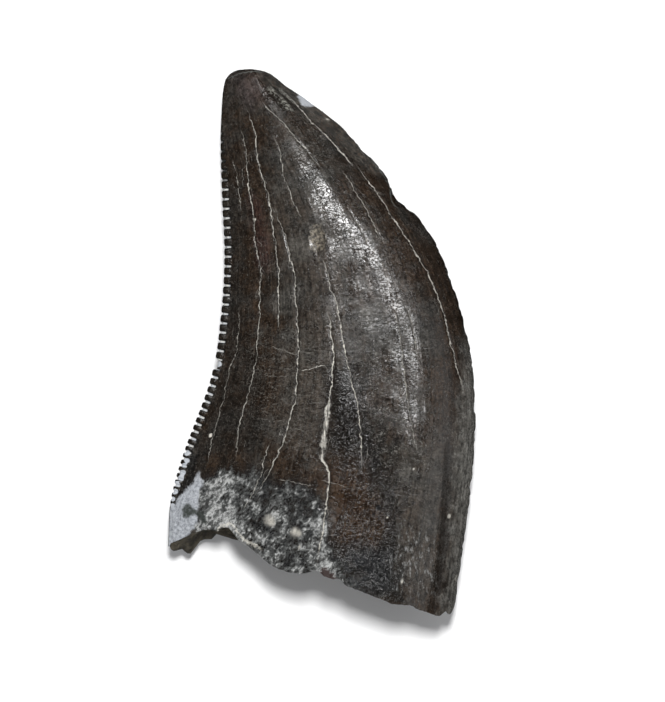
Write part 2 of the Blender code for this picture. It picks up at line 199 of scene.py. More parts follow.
# The cream rim around the scoop in the broken edge, given in the same way.
RIMS = lines("""
    0.2,0.7,0 -9.28,-5.16 -8.85,-4.86 -8.7,-4.37 -8.84,-4.15 -9.2,-3.92 -9.52,-3.6 -9.68,-3.2
    -9.95,-2.7""")
# A painted highlight: the pale line below the worn facet at the tip, given in the same way.
FACET_HIGHLIGHTS = lines("""
    0.11,0.6,0 12.6,-4.64 12.77,-4.21 12.91,-3.78 12.97,-3.2 12.9,-2.75""")
# The pale edge around the notch in the mesial edge.
BEVELS = lines("""
    0.1,0.6,0 4.23,6.2 3.8,6.27 3.54,6.39 3.37,6.61 3.3,6.9 3.3,7.38 3.08,7.69 2.94,7.95 2.78,8.22
    2.27,8.78""")
WIDE_CRACK = 8              # the one that opens up half way along the lower crown
WIDE_FROM, WIDE_TO, WIDE_ENDS, WIDE_GAIN = -6.3, -2.4, 1.2, 3.4
# Crumbling lines beside the worn tip, and the dark seam beside the mesial edge.
EROSION = lines("""
    0.22,0.85,0.06 -1.29,10.95 -1.57,11.07 -1.77,11.41 -2.13,11.79 -2.36,11.98 -2.6,12.27;
    0.14,0.75,0.04 -1.24,11.36 -1.53,11.63 -1.86,11.94 -2.1,12.18""")
SEAMS = lines("""
    0.22,0.35,0.03 5.55,-12.4 5.72,-10.2 5.88,-8.2 5.95,-6.2 5.98,-4.4""")
CRACK_ENDS = 0.12           # share of its length over which a crack thins out at either end
CRACK_BREADTH = 0.70
PLAN = 28.0                 # side of the square that the crack curves are set in

# Zones on the outer side, as plan outlines.
ZONES = named("""
    arc -6.12,-8.12 -5.95,-8.1 -5.7,-8.14 -5.52,-8.42 -5.53,-8.76 -5.72,-8.66 -5.8,-8.46
        -5.97,-8.34 -6.12,-8.3;
    blob -6.68,-8.04 -6.5,-7.8 -6.34,-7.78 -6.14,-7.98 -5.98,-8.13 -6.08,-8.3 -6.27,-8.34
        -6.4,-8.48 -6.64,-8.42;
    lip -6.75,-9.7 -6.54,-9.42 -6.33,-9.24 -6.16,-8.98 -6,-9.06 -5.96,-9.3 -5.7,-9.34 -5.46,-8.98
        -5.15,-9.05 -5.15,-9.6 -6.75,-10.2;
    weathered -6.33,-6.97 -5.94,-6.4 -5.65,-6.4 -4.69,-5.97 -3.93,-6.21 -3.3,-6.01 -2.73,-6.25
        -2.2,-6.69 -1.67,-6.69 -1.05,-6.54 -0.47,-6.88 0.01,-7.36 0.35,-8.03 0.44,-9.09 0.73,-9.95
        1.45,-10.33 2.12,-10.81 2.41,-12.06 2.12,-13.65 -8.49,-13.65 -8.49,-7.89 -7.05,-7.89;
    crust -5.85,-6.35 -5.99,-6.49 -6.2,-6.83 -6.48,-7.17 -6.81,-7.53 -7.05,-7.89 -7.43,-8.13
        -7.53,-10.05 -6.71,-9.81 -6.55,-9.47 -6.18,-9.13 -5.99,-8.85 -5.91,-8.37 -5.97,-7.98
        -5.8,-7.36 -5.68,-6.69;
    shade -6.33,-5.49 -5.99,-5.49 -6.04,-6.49 -6.42,-7.07 -6.76,-7.55 -6.9,-7.36 -6.61,-6.88
        -6.42,-6.21;
    fan -0.18,-7.89 0.2,-7.89 0.44,-9.09 0.97,-10.14 1.45,-11.01 0.39,-11.58 -0.47,-11.29
        -0.66,-10.05 -0.37,-9.09;
    brown 0.01,-5.82 0.87,-5.49 1.93,-5.82 2.41,-7.17 2.99,-8.37 2.6,-9.57 1.35,-9.95 0.59,-9.09
        0.2,-7.65;
    murky 0.3,-1.3 1.75,-1.1 2.25,-3.6 2.9,-5.25 3.75,-6.69 3.75,-8.61 3.85,-12.45 2.41,-12.06
        0.87,-10.53 0.59,-8.61 0.4,-5.25;
    hazy -1.86,10.59 -1.05,10.21 0.01,8.67 0.59,6.03 0.78,3.87 1.11,0.51 0.97,-2.85 0.78,-5.01
        -1.05,-5.25 -2.1,-4.29 -1.91,-1.89 -1.53,0.51 -2.01,2.91 -2.39,5.31 -2.49,7.71;
    margin 7.21,0.99 6.83,-0.93 6.73,-2.99 6.54,-5.01 6.35,-7.02 6.2,-9.18 5.96,-11.01 5.67,-13.6
        8.55,-13.6 8.55,0.99;
    speckled 3.37,-9.18 4.57,-8.8 5.48,-9.18 5.48,-12.06 3.66,-11.87 2.99,-10.81;
    blue 0.87,-10.33 1.35,-9.66 2.41,-9.81 3.18,-10.14 3.37,-11.58 2.41,-12.06 1.45,-11.49;
    band -0.6,11 0.4,9.2 1.2,7.2 2.6,4.9 3.8,2 4.5,0 4.9,-5.7 2.8,-6.2 2.4,-2.9 1.8,0 0.9,2.4
        0.2,4.8 -0.8,6.5 -1.8,9.1 -2,10.6;
    dull -3.21,13.47 -2.87,12.42 -2.01,11.79 -1.19,11.17 -0.33,10.5 0.63,9.63 1.45,8.77 2.22,8.1
        2.7,7.91 3.27,8.67 1.16,11.22 -1.05,12.99;
    chalk -1.2,11.78 -0.9,11.95 -0.5,11.75 -0.3,11.36 -0.62,11.2 -0.98,11.31;
    cream 0.11,10.98 0.45,10.9 0.3,10.6 0.01,10.79;
    spall -0.47,5.41 -0.09,5.51 0.15,4.93 0.11,4.35 -0.28,4.21 -0.57,4.55 -0.61,5.03;
    ashen 2.99,-5.05 3.95,-4.67 5.67,-5.05 5.67,-7.65 5.48,-9.09 3.66,-9.09 3.18,-7.65 2.7,-6.21;
    matt 1.9,2.6 3,2.4 3.5,0.9 3.3,0.1 2.2,0.2 1.7,1.2;
    umbral -4.6,9.15 -3.88,7.23 -3.64,0.51 -2.82,-1.89 -2.77,-4.77 -4.6,-5.49 -6.04,-5.82
        -5.17,-2.85 -4.6,0.51;
    ruddy -3.49,6.99 -2.87,6.75 -2.44,4.35 -2.53,3.3 -3.11,3.68 -3.35,5.22;
    pink -4.21,12.71 -2.87,12.61 -2.58,11.55 -3.64,11.17;
    crazed -3.4,0.6 0.6,0.8 0.9,-3.2 -0.6,-5.2 -3,-4.4 -3.8,-1.6;
    scoop -5.05,-9.28 -4.96,-9.04 -4.74,-8.88 -4.5,-8.88 -4.26,-9.09 -3.97,-9.42 -3.73,-9.81
        -3.73,-10.14 -5.17,-10.14;
    chip -0.18,-10.96 0.15,-10.67 0.54,-10.96 0.78,-11.49 0.11,-11.49""")
SPALL_DEPTH, SPALL_EDGE = 0.05, (-0.05, 0.12)

# Small pale grains, dark pits and smears of matrix over the last denticles, on the outer
# side: (x, y, radius, strength).
GRAINS = numbers("""
    -5.32,-4.53,0.13,1 3.8,-11.44,0.12,0.9 6.05,-8.34,0.14,1 6.39,-11.28,0.11,0.9
    3.37,-11.73,0.1,0.9 -1.07,-9.85,0.16,1 -2.5,-8.5,0.55,0.42 -2.35,-8.62,0.28,0.62
    -1.26,-9.06,0.42,0.55 -1.08,-9.12,0.26,0.7 -3.38,-10.6,0.16,0.5 0.2,4.9,0.09,0.6
    -3.2,5.8,0.09,0.9 4.35,-6.1,0.09,0.8 3.1,-8.35,0.1,0.5""")
PITS = numbers("""
    -0.18,4.21,0.12,1 -0.61,-8.75,0.14,1 2.68,-7.89,0.22,1 2.45,-8.2,0.12,1 -1.75,-8.1,0.14,0.8
    -0.8,-7.7,0.2,0.8 -3.2,-8.7,0.22,0.8 -1.6,-10.6,0.22,0.8""")
SMEARS = numbers("""
    -6.45,-5.38,0.24,1 -6.46,-5.75,0.22,1 -6.6,-5.98,0.18,1 -6.66,-6.32,0.24,1 -6.74,-6.58,0.24,1
    -6.94,-6.86,0.24,1 -7.03,-7.22,0.24,1 -7.14,-7.58,0.2,1 -7.14,-7.9,0.2,1 -4.93,-1.12,0.24,1""")
# Soft grey patches in the enamel, given in the same way.
HAZES = numbers("""
    -1.05,4.35,1.15,1 -0.18,6.75,0.8,0.9 -1.77,1.8,1.1,1 0.39,1,0.8,0.4 2.4,1.38,1.2,0.6
    4,-6.2,0.8,0.8 -2.1,7.2,0.6,0.6 3.6,-0.6,0.8,0.5""")
GRAIN_HEIGHT, PIT_DEPTH = 0.05, 0.04
CRUST_HEIGHT, CRUST_EDGE = 0.12, (-0.05, 0.25)
WEATHERED_DEPTH, WEATHERED_EDGE = 0.05, (-0.3, 0.6)
UNDULATION, UNDULATION_SCALE = 0.05, 0.45
CARVED_FROM, CARVED_TO = 0.03, 0.96     # relief keeps between these shares of the way across

# Where the plain model's lowest and highest corners are, in this file's millimetres.
MODEL_LOW, MODEL_HIGH = (-7.360, -13.092, 0.0), (7.361, 13.110, 7.542)
BLADE_SPAN = 0.03           # texture width of the denticles, as a share of the crown's
TEXTURE_STRIPS = ((0.004, 0.59), (0.605, 0.29), (0.905, 0.09))     # left end and width
TEXTURE_MARGIN = 0.004
GRAIN_SCALE = 3.5
NOISE_DIMENSION, LACUNARITY = 0.7, 2.1

# ---------------------------------------------------------------- colours, linear
BROWN = (0.0186, 0.0121, 0.0079, 1.0)
GREY = (0.0215, 0.0196, 0.0171, 1.0)
UMBER = (0.0088, 0.0066, 0.0050, 1.0)
RUST = (0.0380, 0.0205, 0.0105, 1.0)
OLIVE = (0.0250, 0.0215, 0.0165, 1.0)
PINK = (0.0420, 0.0320, 0.0300, 1.0)
ASH = (0.0500, 0.0466, 0.0410, 1.0)
# Pale grey of the mesial margin: partly the edge's own colour, partly a painted sheen.
RIM_GREY_AND_SHEEN = (0.1120, 0.1090, 0.0990, 1.0)
LICHEN = (0.160, 0.175, 0.165, 1.0)
MURK = (0.0085, 0.0068, 0.0055, 1.0)
MAROON = (0.0260, 0.0130, 0.0110, 1.0)
SLATE = (0.0140, 0.0150, 0.0165, 1.0)
BLACK = (0.007, 0.007, 0.007, 1.0)
VEIN = (0.075, 0.042, 0.024, 1.0)
TAN = (0.150, 0.130, 0.100, 1.0)
PALE = (0.200, 0.190, 0.170, 1.0)
CREAM = (0.640, 0.610, 0.540, 1.0)
CHALK = (0.420, 0.425, 0.415, 1.0)
CHALK_GREY = (0.070, 0.073, 0.070, 1.0)
MOSS = (0.030, 0.036, 0.031, 1.0)
LIP = (0.030, 0.024, 0.018, 1.0)
CRUMB = (0.560, 0.560, 0.490, 1.0)
CRUST = (0.430, 0.450, 0.480, 1.0)
CRUST_SHADE = (0.170, 0.180, 0.195, 1.0)
FILLING = (0.520, 0.510, 0.470, 1.0)
DENTINE = (0.130, 0.112, 0.078, 1.0)
DENTINE_DARK = (0.048, 0.044, 0.034, 1.0)

# Tints laid over the enamel, in order: (zone, share, colour). The dark tint over the distal side
# is painted shade, and the pale margin tint is partly the edge's own grey and partly a painted
# sheen.
ZONE_TINTS = [
    ("hazy", 0.30, ASH), ("murky", 0.85, MURK), ("brown", 0.85, RUST), ("dull", 0.85, OLIVE),
    ("margin", 0.85, RIM_GREY_AND_SHEEN), ("ashen", 0.30, ASH), ("pink", 0.75, PINK),
    ("speckled", 0.35, ASH), ("blue", 0.85, SLATE), ("umbral", 0.60, MURK),
    ("ruddy", 0.60, MAROON), ("shade", 0.85, BLACK)]
# How far a zone's edge fades to either side.
SOFTNESS = {
    "hazy": 0.9, "murky": 0.7, "brown": 0.7, "dull": 0.25, "margin": 0.60, "ashen": 0.7,
    "pink": 0.5, "speckled": 0.7, "blue": 0.5, "umbral": 0.5, "ruddy": 0.3, "shade": 0.12,
    "spall": 0.10, "crazed": 0.8, "fan": 0.35, "scoop": 0.05, "chip": 0.08, "chalk": 0.06,
    "cream": 0.06, "blob": 0.06, "arc": 0.06, "lip": 0.06, "matt": 0.6, "band": 0.9,
    "weathered": 0.45, "crust": 0.08}
BOTH_SIDES = ("margin", "dull")     # tints that go round the mesial edge

# Noises of the material: scale, then detail, roughness and distortion.
PATTERNS = {
    "mottle": (1.6, 5.0, 0.65), "grain": (7.0, 4.0, 0.75), "speck": (6.5, 5.0, 0.8, 0.3),
    "patches": (0.42, 5.0, 0.65), "clouds": (2.1, 6.0, 0.78), "flecks": (11.0, 2.0, 0.7),
    "painted_sparkle": (6.5, 3.0, 0.8), "matt": (0.8, 5.0, 0.7), "chalk": (1.0, 7.0, 0.74, 0.25),
    "thinning": (2.4, 4.0, 0.75), "stretches": (0.9, 2.0), "twins": (0.8, 3.0),
    "bits": (5.0, 3.0, 0.8), "fibres": (1.0, 3.0, 0.7), "streaks": (1.0, 6.0, 0.75),
    "strands": (3.9, 6.0, 0.8, 0.9), "upright": (1.0, 4.0, 0.75), "rings": (1.0, 3.0),
    "ribs": (0.8, 1.0), "bumps": (5.0, 1.0), "chaps": (4.5, 3.0, 0.7)}
# Winding lines: scale, width and distortion.
RIDGES = {
    "veins": (1.5, 0.035, 1.0), "hairs": (3.1, 0.014, 0.4), "scratches": (1.0, 0.026, 1.6),
    "wrinkles": (5.4, 0.075, 1.5)}
# Eased steps: from, to, and the two values they lead between, which are else 0 and 1.
EASES = {
    "line": (0.3, 1.1, 1.0, 0.0), "thinning": (0.34, 0.64, 0.45, 1.55),
    "stray": (0.35, 0.65, -0.28, 0.28), "twins": (0.5, 0.6, 0.0, 0.45),
    "fibres": (0.40, 0.58, -0.95, 0.0), "bits": (0.32, 0.56, 0.30, 1.0),
    "lengths": (0.36, 0.54, 0.58, 1.0), "patches": (0.44, 0.64), "umber": (0.50, 0.68, 0.0, 0.7),
    "haze": (0.12, 0.65, 0.0, 0.70), "spall": (0.35, 0.6, 0.0, 0.8),
    "clouds": (0.36, 0.64, 0.62, 1.42), "streaks": (0.30, 0.70, 0.52, 1.70),
    "grain": (0.30, 0.70, 0.50, 1.62), "flecks": (0.61, 0.73, 0.0, 0.40),
    "worn": (0.38, 0.60, -0.55, 0.5), "worn_specks": (0.54, 0.66, 0.0, 0.6),
    "hairs": (0.45, 0.60, 0.0, 0.40), "painted_glints": (0.38, 0.56),
    "glints_down": (1.5, -1.0, 0.50, 0.95), "painted_sparkle": (0.62, 0.70), "star_clouds": (0.48, 0.58),
    "stars_down": (-1.0, -5.0, 0.2, 0.60), "slate": (0.4, 0.6),
    "left_chalk": (-2.0, -6.0, 0.0, 0.04), "film": (0.456, 0.524, 0.0, 0.8),
    "chalk": (0.513, 0.602, 0.0, 0.95), "upright": (0.52, 0.70, 0.0, 0.5),
    "rims": (0.35, 0.6, 0.4, 1.6), "rim_specks": (0.3, 0.5), "pits": (0.15, 0.6),
    "grains": (0.10, 0.58, 0.0, 0.9), "crust_shade": (0.75, 1.2),
    "specks": (0.40, 0.52, 0.70, 1.0), "dentine": (0.35, 0.65), "rings": (0.42, 0.62, 0.0, 0.45),
    "infill": (0.42, 0.58, 0.0, 0.85), "crumbly": (0.60, 0.75, 0.0, 0.6),
    "uneven": (0.35, 0.65, 0.3, 1.3), "crumbs": (0.45, 0.55), "groove": (0.003, 0.02, 0.0, 0.5),
    "denticles": (0.4, 0.65), "blade": (-0.004, -0.012, 0.0, 0.7), "gaps": (0.01, 0.12, 0.0, 0.85),
    "filled": (0.22, 0.55), "matrix_end": (7.9, 7.3), "filling": (0.4, 0.6),
    "smear": (0.30, 0.42), "smear_side": (0.30, 0.45), "matt": (0.48, 0.62, 0.0, 0.08),
    "polish": (0.3, 0.7, 0.15, 0.26), "wrinkles_down": (1.0, -3.5, 0.024, 0.040),
    "outer": (0.4, 0.6), "broken": (0.2, 0.6), "under": (0.14, 0.30, 1.0, 0.0),
    "under_fade": (0.96, 0.68)}
STREAKS_ACROSS, STREAKS_ALONG, STREAKS_ASIDE = 75.0, 7.0, 7.0
EDGE_WOBBLE, FINE_WOBBLE = 1.6, 0.6     # unevenness of the edges of zones and spots
VEIN_SHARE, SCRATCH_SHARE, CRAZED_SHARE, MURKY_LOSS = 0.6, 0.044, 0.44, 0.5
MATRIX_SHARE, MATRIX_FADE, SLATE_SHARE = 0.95, 15.0, 0.9
CLOUD_WEIGHT, STRAND_WEIGHT, SPECK_WEIGHT, CHALK_FADE = 0.41, 0.34, 0.25, 0.30
SCRATCH_STRETCH = (1.9, 5.2, 2.0)
FIBRE_STRETCH = (11.0, 1.3, 3.0)
STRAND_ALONG, STRAND_ACROSS = 0.45, 1.05
SPECKLE_STRETCH = (7.0, 2.6, 3.0)
FAN_CHALK, BLUE_CLEAR = 0.035, 0.06
UNDER_SHIFT = 0.7           # the inner side's cracks stand this far to the side
RING_COUNT, RING_WAVER = 9.0, 0.8
WAVERS = ((0.22, 1.2), (0.20, 3.5), (0.10, 9.0))   # sizes and scales along the crack lines
TWIN_THICKNESS = 0.55
WRINKLE_STRETCH = (0.75, 1.25, 1.0)
WRINKLE_ELSEWHERE, WRINKLE_MATT = 0.003, 0.05
STREAK_RELIEF, GRAIN_RELIEF, DRY_RELIEF, CRACK_RELIEF = 0.012, 0.008, 0.080, 0.020
# What is added to or taken from the roughness of the polish.
DRY, WORN_DRY, MATT_ZONE, SLEEK, SHARP = 0.68, 0.6, 0.10, 0.06, 0.025

# ---------------------------------------------------------------- floor, light and camera, metres
FLOOR_HALF = 0.6
FLOOR_FINISH = {"Base Color": (0.90, 0.90, 0.90, 1.0), "Roughness": 0.9}
WORLD_COLOUR = (0.97, 0.98, 1.0, 1.0)
WORLD_STRENGTH = 0.36
# Name, place, size, power, and whether it lights surfaces (or only gleams on them).
LIGHTS = [
    ("overhead", (0.004, 0.051, 0.298), (0.026, 0.036), 0.94, True),
    ("gleam", (-0.0250, 0.0980, 0.1450), (0.085, 0.026), 0.235, False),
    ("low_gleam", (0.0360, 0.0850, 0.1480), (0.085, 0.030), 0.200, False),
    ("side_gleam", (0.0920, 0.0450, 0.1350), (0.030, 0.030), 0.070, False),
    ("right_sheen", (0.200, 0.010, 0.060), (0.120, 0.120), 0.050, False)]
LIGHT_AIM = (0.0, 0.0, 0.003)
LENS = 299.1
CLIP_RANGE = (0.01, 10.0)
CAMERA_PLACE = (0.000514, -0.000494, 0.2826)


def smooth_path(points, steps):
    """Samples along the Catmull-Rom curve through the points."""
    knots = np.array(points, dtype=float)
    before = 2.0 * knots[0] - knots[1]
    after = 2.0 * knots[-1] - knots[-2]
    padded = np.vstack([before, knots, after])
    u = np.linspace(0.0, 1.0, steps, endpoint=False)[:, None]
    pieces = []
    for p0, p1, p2, p3 in zip(padded, padded[1:], padded[2:], padded[3:]):
        linear = (p2 - p0) * u
        square = (2.0 * p0 - 5.0 * p1 + 4.0 * p2 - p3) * u ** 2
        cube = (3.0 * p1 - p0 - 3.0 * p2 + p3) * u ** 3
        pieces.append(0.5 * (2.0 * p1 + linear + square + cube))
    return np.vstack(pieces + [knots[-1:]])


class EdgeCurve:
    """A plan curve that is read by its share of length."""

    def __init__(self, points):
        self.path = smooth_path(points, CURVE_STEPS)
        runs = np.hypot(*np.diff(self.path, axis=0).T)
        travelled = np.concatenate([[0.0], np.cumsum(runs)])
        self.length = travelled[-1]
        self.share = travelled / self.length

    def at(self, share):
        x = np.interp(share, self.share, self.path[:, 0])
        y = np.interp(share, self.share, self.path[:, 1])
        return np.stack([x, y], axis=-1)

    def inward(self, share, step=0.004):
        """Unit normals on the right-hand side of the direction of travel."""
        ahead = self.at(np.minimum(share + step, 1.0))
        behind = self.at(np.maximum(share - step, 0.0))
        along = ahead - behind
        along /= np.linalg.norm(along, axis=-1, keepdims=True)
        return np.stack([along[..., 1], -along[..., 0]], axis=-1)


def table(knots, x):
    """A smooth function through (x, value) knots that turns only at the knots."""
    at, value = np.array(knots, dtype=float).T
    secant = np.diff(value) / np.diff(at)
    before, after = secant[:-1], secant[1:]
    same_way = before * after > 0.0
    total = np.where(same_way, before + after, 1.0)
    inner = np.where(same_way, 2.0 * before * after / total, 0.0)
    slope = np.concatenate([secant[:1], inner, secant[-1:]])
    cell = np.clip(np.searchsorted(at, x, side="right") - 1, 0, len(at) - 2)
    width = at[cell + 1] - at[cell]
    u = np.clip((x - at[cell]) / width, 0.0, 1.0)
    turn = u * u * (3.0 - 2.0 * u)
    leaving = u * (1.0 - u) ** 2 * width * slope[cell]
    arriving = u * u * (u - 1.0) * width * slope[cell + 1]
    return value[cell] + (value[cell + 1] - value[cell]) * turn + leaving + arriving


def bell(x, place, width):
    return np.exp(-(((x - place) / width) ** 2))


def fade(x, reach):
    """1 at zero, easing to 0 at the given reach."""
    return np.clip(1.0 - x / reach, 0.0, 1.0) ** 2


def ease(x, start, end):
    """0 up to the start, easing to 1 at the end."""
    share = np.clip((x - start) / (end - start), 0.0, 1.0)
    return share * share * (3.0 - 2.0 * share)


def rough(points, scale, seed=0.0, octaves=4):
    """Fractal noise of about -1 to 1 at points given in millimetres."""
    values = [
        noise.fractal(
            Vector((x * scale + seed, y * scale, z * scale)), NOISE_DIMENSION, LACUNARITY, octaves)
        for x, y, z in points]
    return np.array(values)


distal = EdgeCurve(DISTAL_EDGE)
mesial = EdgeCurve(MESIAL_EDGE)


def denticle_height(arc):
    """Denticle height along the distal edge: small at the base, worn at the tip."""
    grown = np.clip((arc - DENTICLE_START) / (FULL_HEIGHT_FROM - DENTICLE_START), 0.0, 1.0)
    wear = np.clip((arc - WORN_FROM) / (DENTICLE_END - WORN_FROM), 0.0, 1.0)
    height = DENTICLE_HEIGHT * np.sqrt(grown)
    height = height + (WORN_HEIGHT - height) * wear
    past_end = np.clip((arc - DENTICLE_END) / (distal.length - DENTICLE_END), 0.0, 1.0)
    return np.where(arc < DENTICLE_START, 0.0, height) * (1.0 - past_end)


def edge_rows():
    """Rows along the distal edge: distance, gap depth share, and if the crown has a row."""
    rows = []
    for arc in np.linspace(0.0, DENTICLE_START, BASE_CELLS, endpoint=False):
        rows.append((arc, 0.0, True))
    start = DENTICLE_START
    while start < DENTICLE_END:
        growth = (start - DENTICLE_START) / PITCH_RANGE
        pitch = DENTICLE_PITCH - PITCH_LOSS * math.exp(-growth ** 2)
        along = (start - DENTICLE_START) / (DENTICLE_END - DENTICLE_START)
        half = GAP_HALF[0] + (GAP_HALF[1] - GAP_HALF[0]) * min(1.0, 2.0 * along)
        missing = start <= MISSING_DENTICLE < start + pitch
        for phase, halves, gap, crown in DENTICLE_ROWS:
            arc = start + (phase + halves * half) * pitch
            rows.append((arc, MISSING_GAP if missing else gap, crown))
        start += pitch
    last = TIP_LAST * distal.length
    for cell in range(TIP_CELLS + 1):
        arc = start + (last - start) * math.sin(0.5 * math.pi * cell / TIP_CELLS)
        rows.append((arc, 0.0, True))
    return rows


def rounding(t):
    """Share of the thickness that is left where the tip rounds off."""
    share = np.clip((t - TIP_ROUNDING) / (1.0 - TIP_ROUNDING), 0.0, 1.0)
    return np.sqrt(1.0 - share ** 2)


def middle_height(s, t):
    """Height of the surface half way through the crown, which meets both edges."""
    turn = ease(s, *LIFT_TURN)
    clearance = table(DISTAL_LIFT, t) * (1.0 - turn) + table(MESIAL_LIFT, t) * turn
    return (1.0 - OUTER_SHARE) * table(THICKNESS, t) + clearance - REST_DEPTH


def mesial_fall(share, t):
    """Fall to the mesial edge: round at the base, a keel near the tip."""
    keel = ease(t, KEEL_START, KEEL_FULL)
    round_edge = np.sqrt(1.0 - share ** ROUND_POWER)
    return round_edge + (1.0 - share ** KEEL_POWER - round_edge) * keel


def bulge(s, t, share, rise, fall, power):
    """How far one side stands from the middle, which rises over the first part and then falls."""
    rising = 1.0 - np.clip(1.0 - s / rise, 0.0, 1.0) ** power
    falling = mesial_fall(np.clip((s - fall) / (1.0 - fall), 0.0, 1.0), t)
    profile = np.where(s < fall, rising, falling)
    blade = 0.5 * ROOT_THICKNESS * (1.0 - s) * (1.0 - profile)
    return (blade + share * table(THICKNESS, t) * profile) * rounding(t)


def furrow(s, t, depth, place, width, reach):
    """Depth of a hollow that runs from the base towards the tip."""
    return depth * bell(s, place, width) * fade(t, reach)


def uneven(share, scale, seed=0.0):
    """Noise along a line as long as the mesial edge."""
    still = np.zeros_like(share)
    return rough(np.column_stack([share * mesial.length, still, still]), scale, seed)


def ragged_break(broken, s):
    """The broken edge with its small raggedness."""
    return table(broken, s) + RAGGED * uneven(s, RAGGED_SCALE)


def edge_wear(t):
    """Small nicks along the mesial edge."""
    return EDGE_WEAR * np.maximum(uneven(t, EDGE_WEAR_SCALE, EDGE_WEAR_SEED), EDGE_WEAR_FLOOR)


def crown_plan(s, t, root, broken):
    """Plan position across a section, from the root of the denticles to the mesial edge."""
    far = mesial.at(t)
    chord = far - root
    across = chord / np.linalg.norm(chord, axis=-1, keepdims=True)
    towards_tip = np.stack([-across[..., 1], across[..., 0]], axis=-1)
    nicks = edge_wear(t[:1]) * np.clip((s - 1.0 + NICK_BREADTH) / NICK_BREADTH, 0.0, 1.0)
    draw = table(MESIAL_CHIP, t) * np.clip((s - 1.0 + CHIP_BREADTH) / CHIP_BREADTH, 0.0, 1.0) ** 2
    draw = draw + nicks
    short = broken * fade(t, BREAK_REACH)
    return root + chord * s[..., None] - across * draw[..., None] + towards_tip * short[..., None]


def outer_height(s, t):
    rise = bulge(s, t, OUTER_SHARE, CREST, CREST, DISTAL_POWER)
    return middle_height(s, t) + rise - furrow(s, t, *GROOVE)


def inner_height(s, t):
    fall = bulge(s, t, 1.0 - OUTER_SHARE, INNER_RISE, INNER_FALL, INNER_POWER)
    return np.maximum(middle_height(s, t) - fall + furrow(s, t, *HOLLOW), 0.0)


def column_shares(count):
    """Shares of the way across, closer together beside the two edges, and even ones."""
    even = np.arange(1, count + 1) / count
    clustered = 0.5 * (1.0 - np.cos(math.pi * even))
    return COLUMN_CLUSTER * clustered + (1.0 - COLUMN_CLUSTER) * even, even


# ---------------------------------------------------------------- marks, worked out in plan
def inside(plan, outline):
    """Signed distance to an outline, positive inside it."""
    corners = np.array(outline, dtype=float)
    nearest = np.full(len(plan), np.inf)
    within = np.zeros(len(plan), dtype=bool)
    for start, end in zip(corners, np.roll(corners, -1, axis=0)):
        run = end - start
        rel = plan - start
        along = np.clip(rel @ run / (run @ run), 0.0, 1.0)
        nearest = np.minimum(nearest, np.linalg.norm(rel - along[:, None] * run, axis=1))
        if start[1] != end[1]:
            crosses = (start[1] > plan[:, 1]) != (end[1] > plan[:, 1])
            at = start[0] + (plan[:, 1] - start[1]) * run[0] / run[1]
            within ^= crosses & (plan[:, 0] < at)
    return np.where(within, nearest, -nearest)


def crack_relief(plan):
    """How deep the cracks cut into the outer side."""
    x, y = plan.T
    relief = np.zeros(len(plan))
    for number, (points, width, _, depth) in enumerate(CRACKS + EROSION + SEAMS):
        line_x, line_y = np.array(points).T
        start, end = line_y[0], line_y[-1]
        lean = (end - start) / math.hypot(line_x[-1] - line_x[0], end - start)
        away = np.abs(x - np.interp(y, line_y, line_x)) * lean
        taper = CRACK_ENDS * (end - start)
        ends = ease(y, start, start + taper) * (1.0 - ease(y, end - taper, end))
        half = np.full(len(plan), width)
        if number == WIDE_CRACK:
            middle = 0.5 * (WIDE_FROM + WIDE_TO)
            half = half * (1.0 + WIDE_GAIN * bell(y, middle, 0.5 * (WIDE_TO - WIDE_FROM)))
        relief = np.maximum(relief, depth * ends * np.exp(-(away / half) ** 2))
    return relief


def spots(plan, places):
    """1 at the middle of each round spot, easing to 0 at its rim."""
    field = np.zeros(len(plan))
    for x, y, radius, strength in places:
        away = np.hypot(plan[:, 0] - x, plan[:, 1] - y)
        field = np.maximum(field, strength * (1.0 - ease(away, 0.0, radius)))
    return field


# ---------------------------------------------------------------- the mesh
LABELS = ("across", "along", "outer", "gap", "broken", "core")
OUTER, INNER, CAP = 0, 1, 2     # islands of the texture


class Skin:
    """Vertices and faces of the tooth as they are laid down."""

    def __init__(self):
        self.points = []
        self.count = 0
        self.labels = []
        self.faces = []
        self.islands = []

    def add(self, plan, height, **label):
        """Adds a run of points and returns their numbers."""
        count = len(plan)
        self.points.append(np.column_stack([plan, height]))
        columns = [np.broadcast_to(label.get(name, 0.0), count) for name in LABELS]
        self.labels.append(np.column_stack(columns))
        added = list(range(self.count, self.count + count))
        self.count += count
        return added

    def face(self, corners, island):
        self.faces.append(corners)
        self.islands.append(island)


def add_blade(skin, arc, gap):
    """Chains of points over the denticles: the edge, the outer side and the inner side."""
    t = arc / distal.length
    height = denticle_height(arc)
    inward = distal.inward(t)
    edge = distal.at(t) + inward * (height * gap * GAP_OPEN)[:, None]
    gap = np.where(gap > 1.0, 0.0, gap)
    root = distal.at(t) + inward * (height + ROOT_MARGIN * (1.0 - t))[:, None]
    middle = middle_height(np.zeros(len(t)), t)
    left = rounding(t)
    outer, inner = [], []
    edge_row = skin.add(edge, middle, across=-BLADE_SPAN, along=t, outer=0.5, gap=gap)
    for number, step in enumerate(BLADE_STEPS[1:]):
        plan = edge + (root - edge) * step
        tooth = EDGE_THICKNESS + (ROOT_THICKNESS - EDGE_THICKNESS) * step ** BLADE_POWER
        tooth = tooth * (1.0 if number else EDGE_NARROWING)
        fill = FILL_THICKNESS + (ROOT_THICKNESS - FILL_THICKNESS) * ease(step, FILL_SWELLS, 1.0)
        half = 0.5 * left * (tooth + (fill - tooth) * gap)
        filled = gap * (1.0 - ease(step, FILL_ENDS, 1.0))
        place = BLADE_SPAN * (step - 1.0)
        outer.append(skin.add(
            plan, middle + half, across=place, along=t, outer=1.0, gap=filled))
        inner.append(skin.add(
            plan, middle - half, across=place, along=t, outer=0.0, gap=filled))
    return edge_row, outer, inner, root


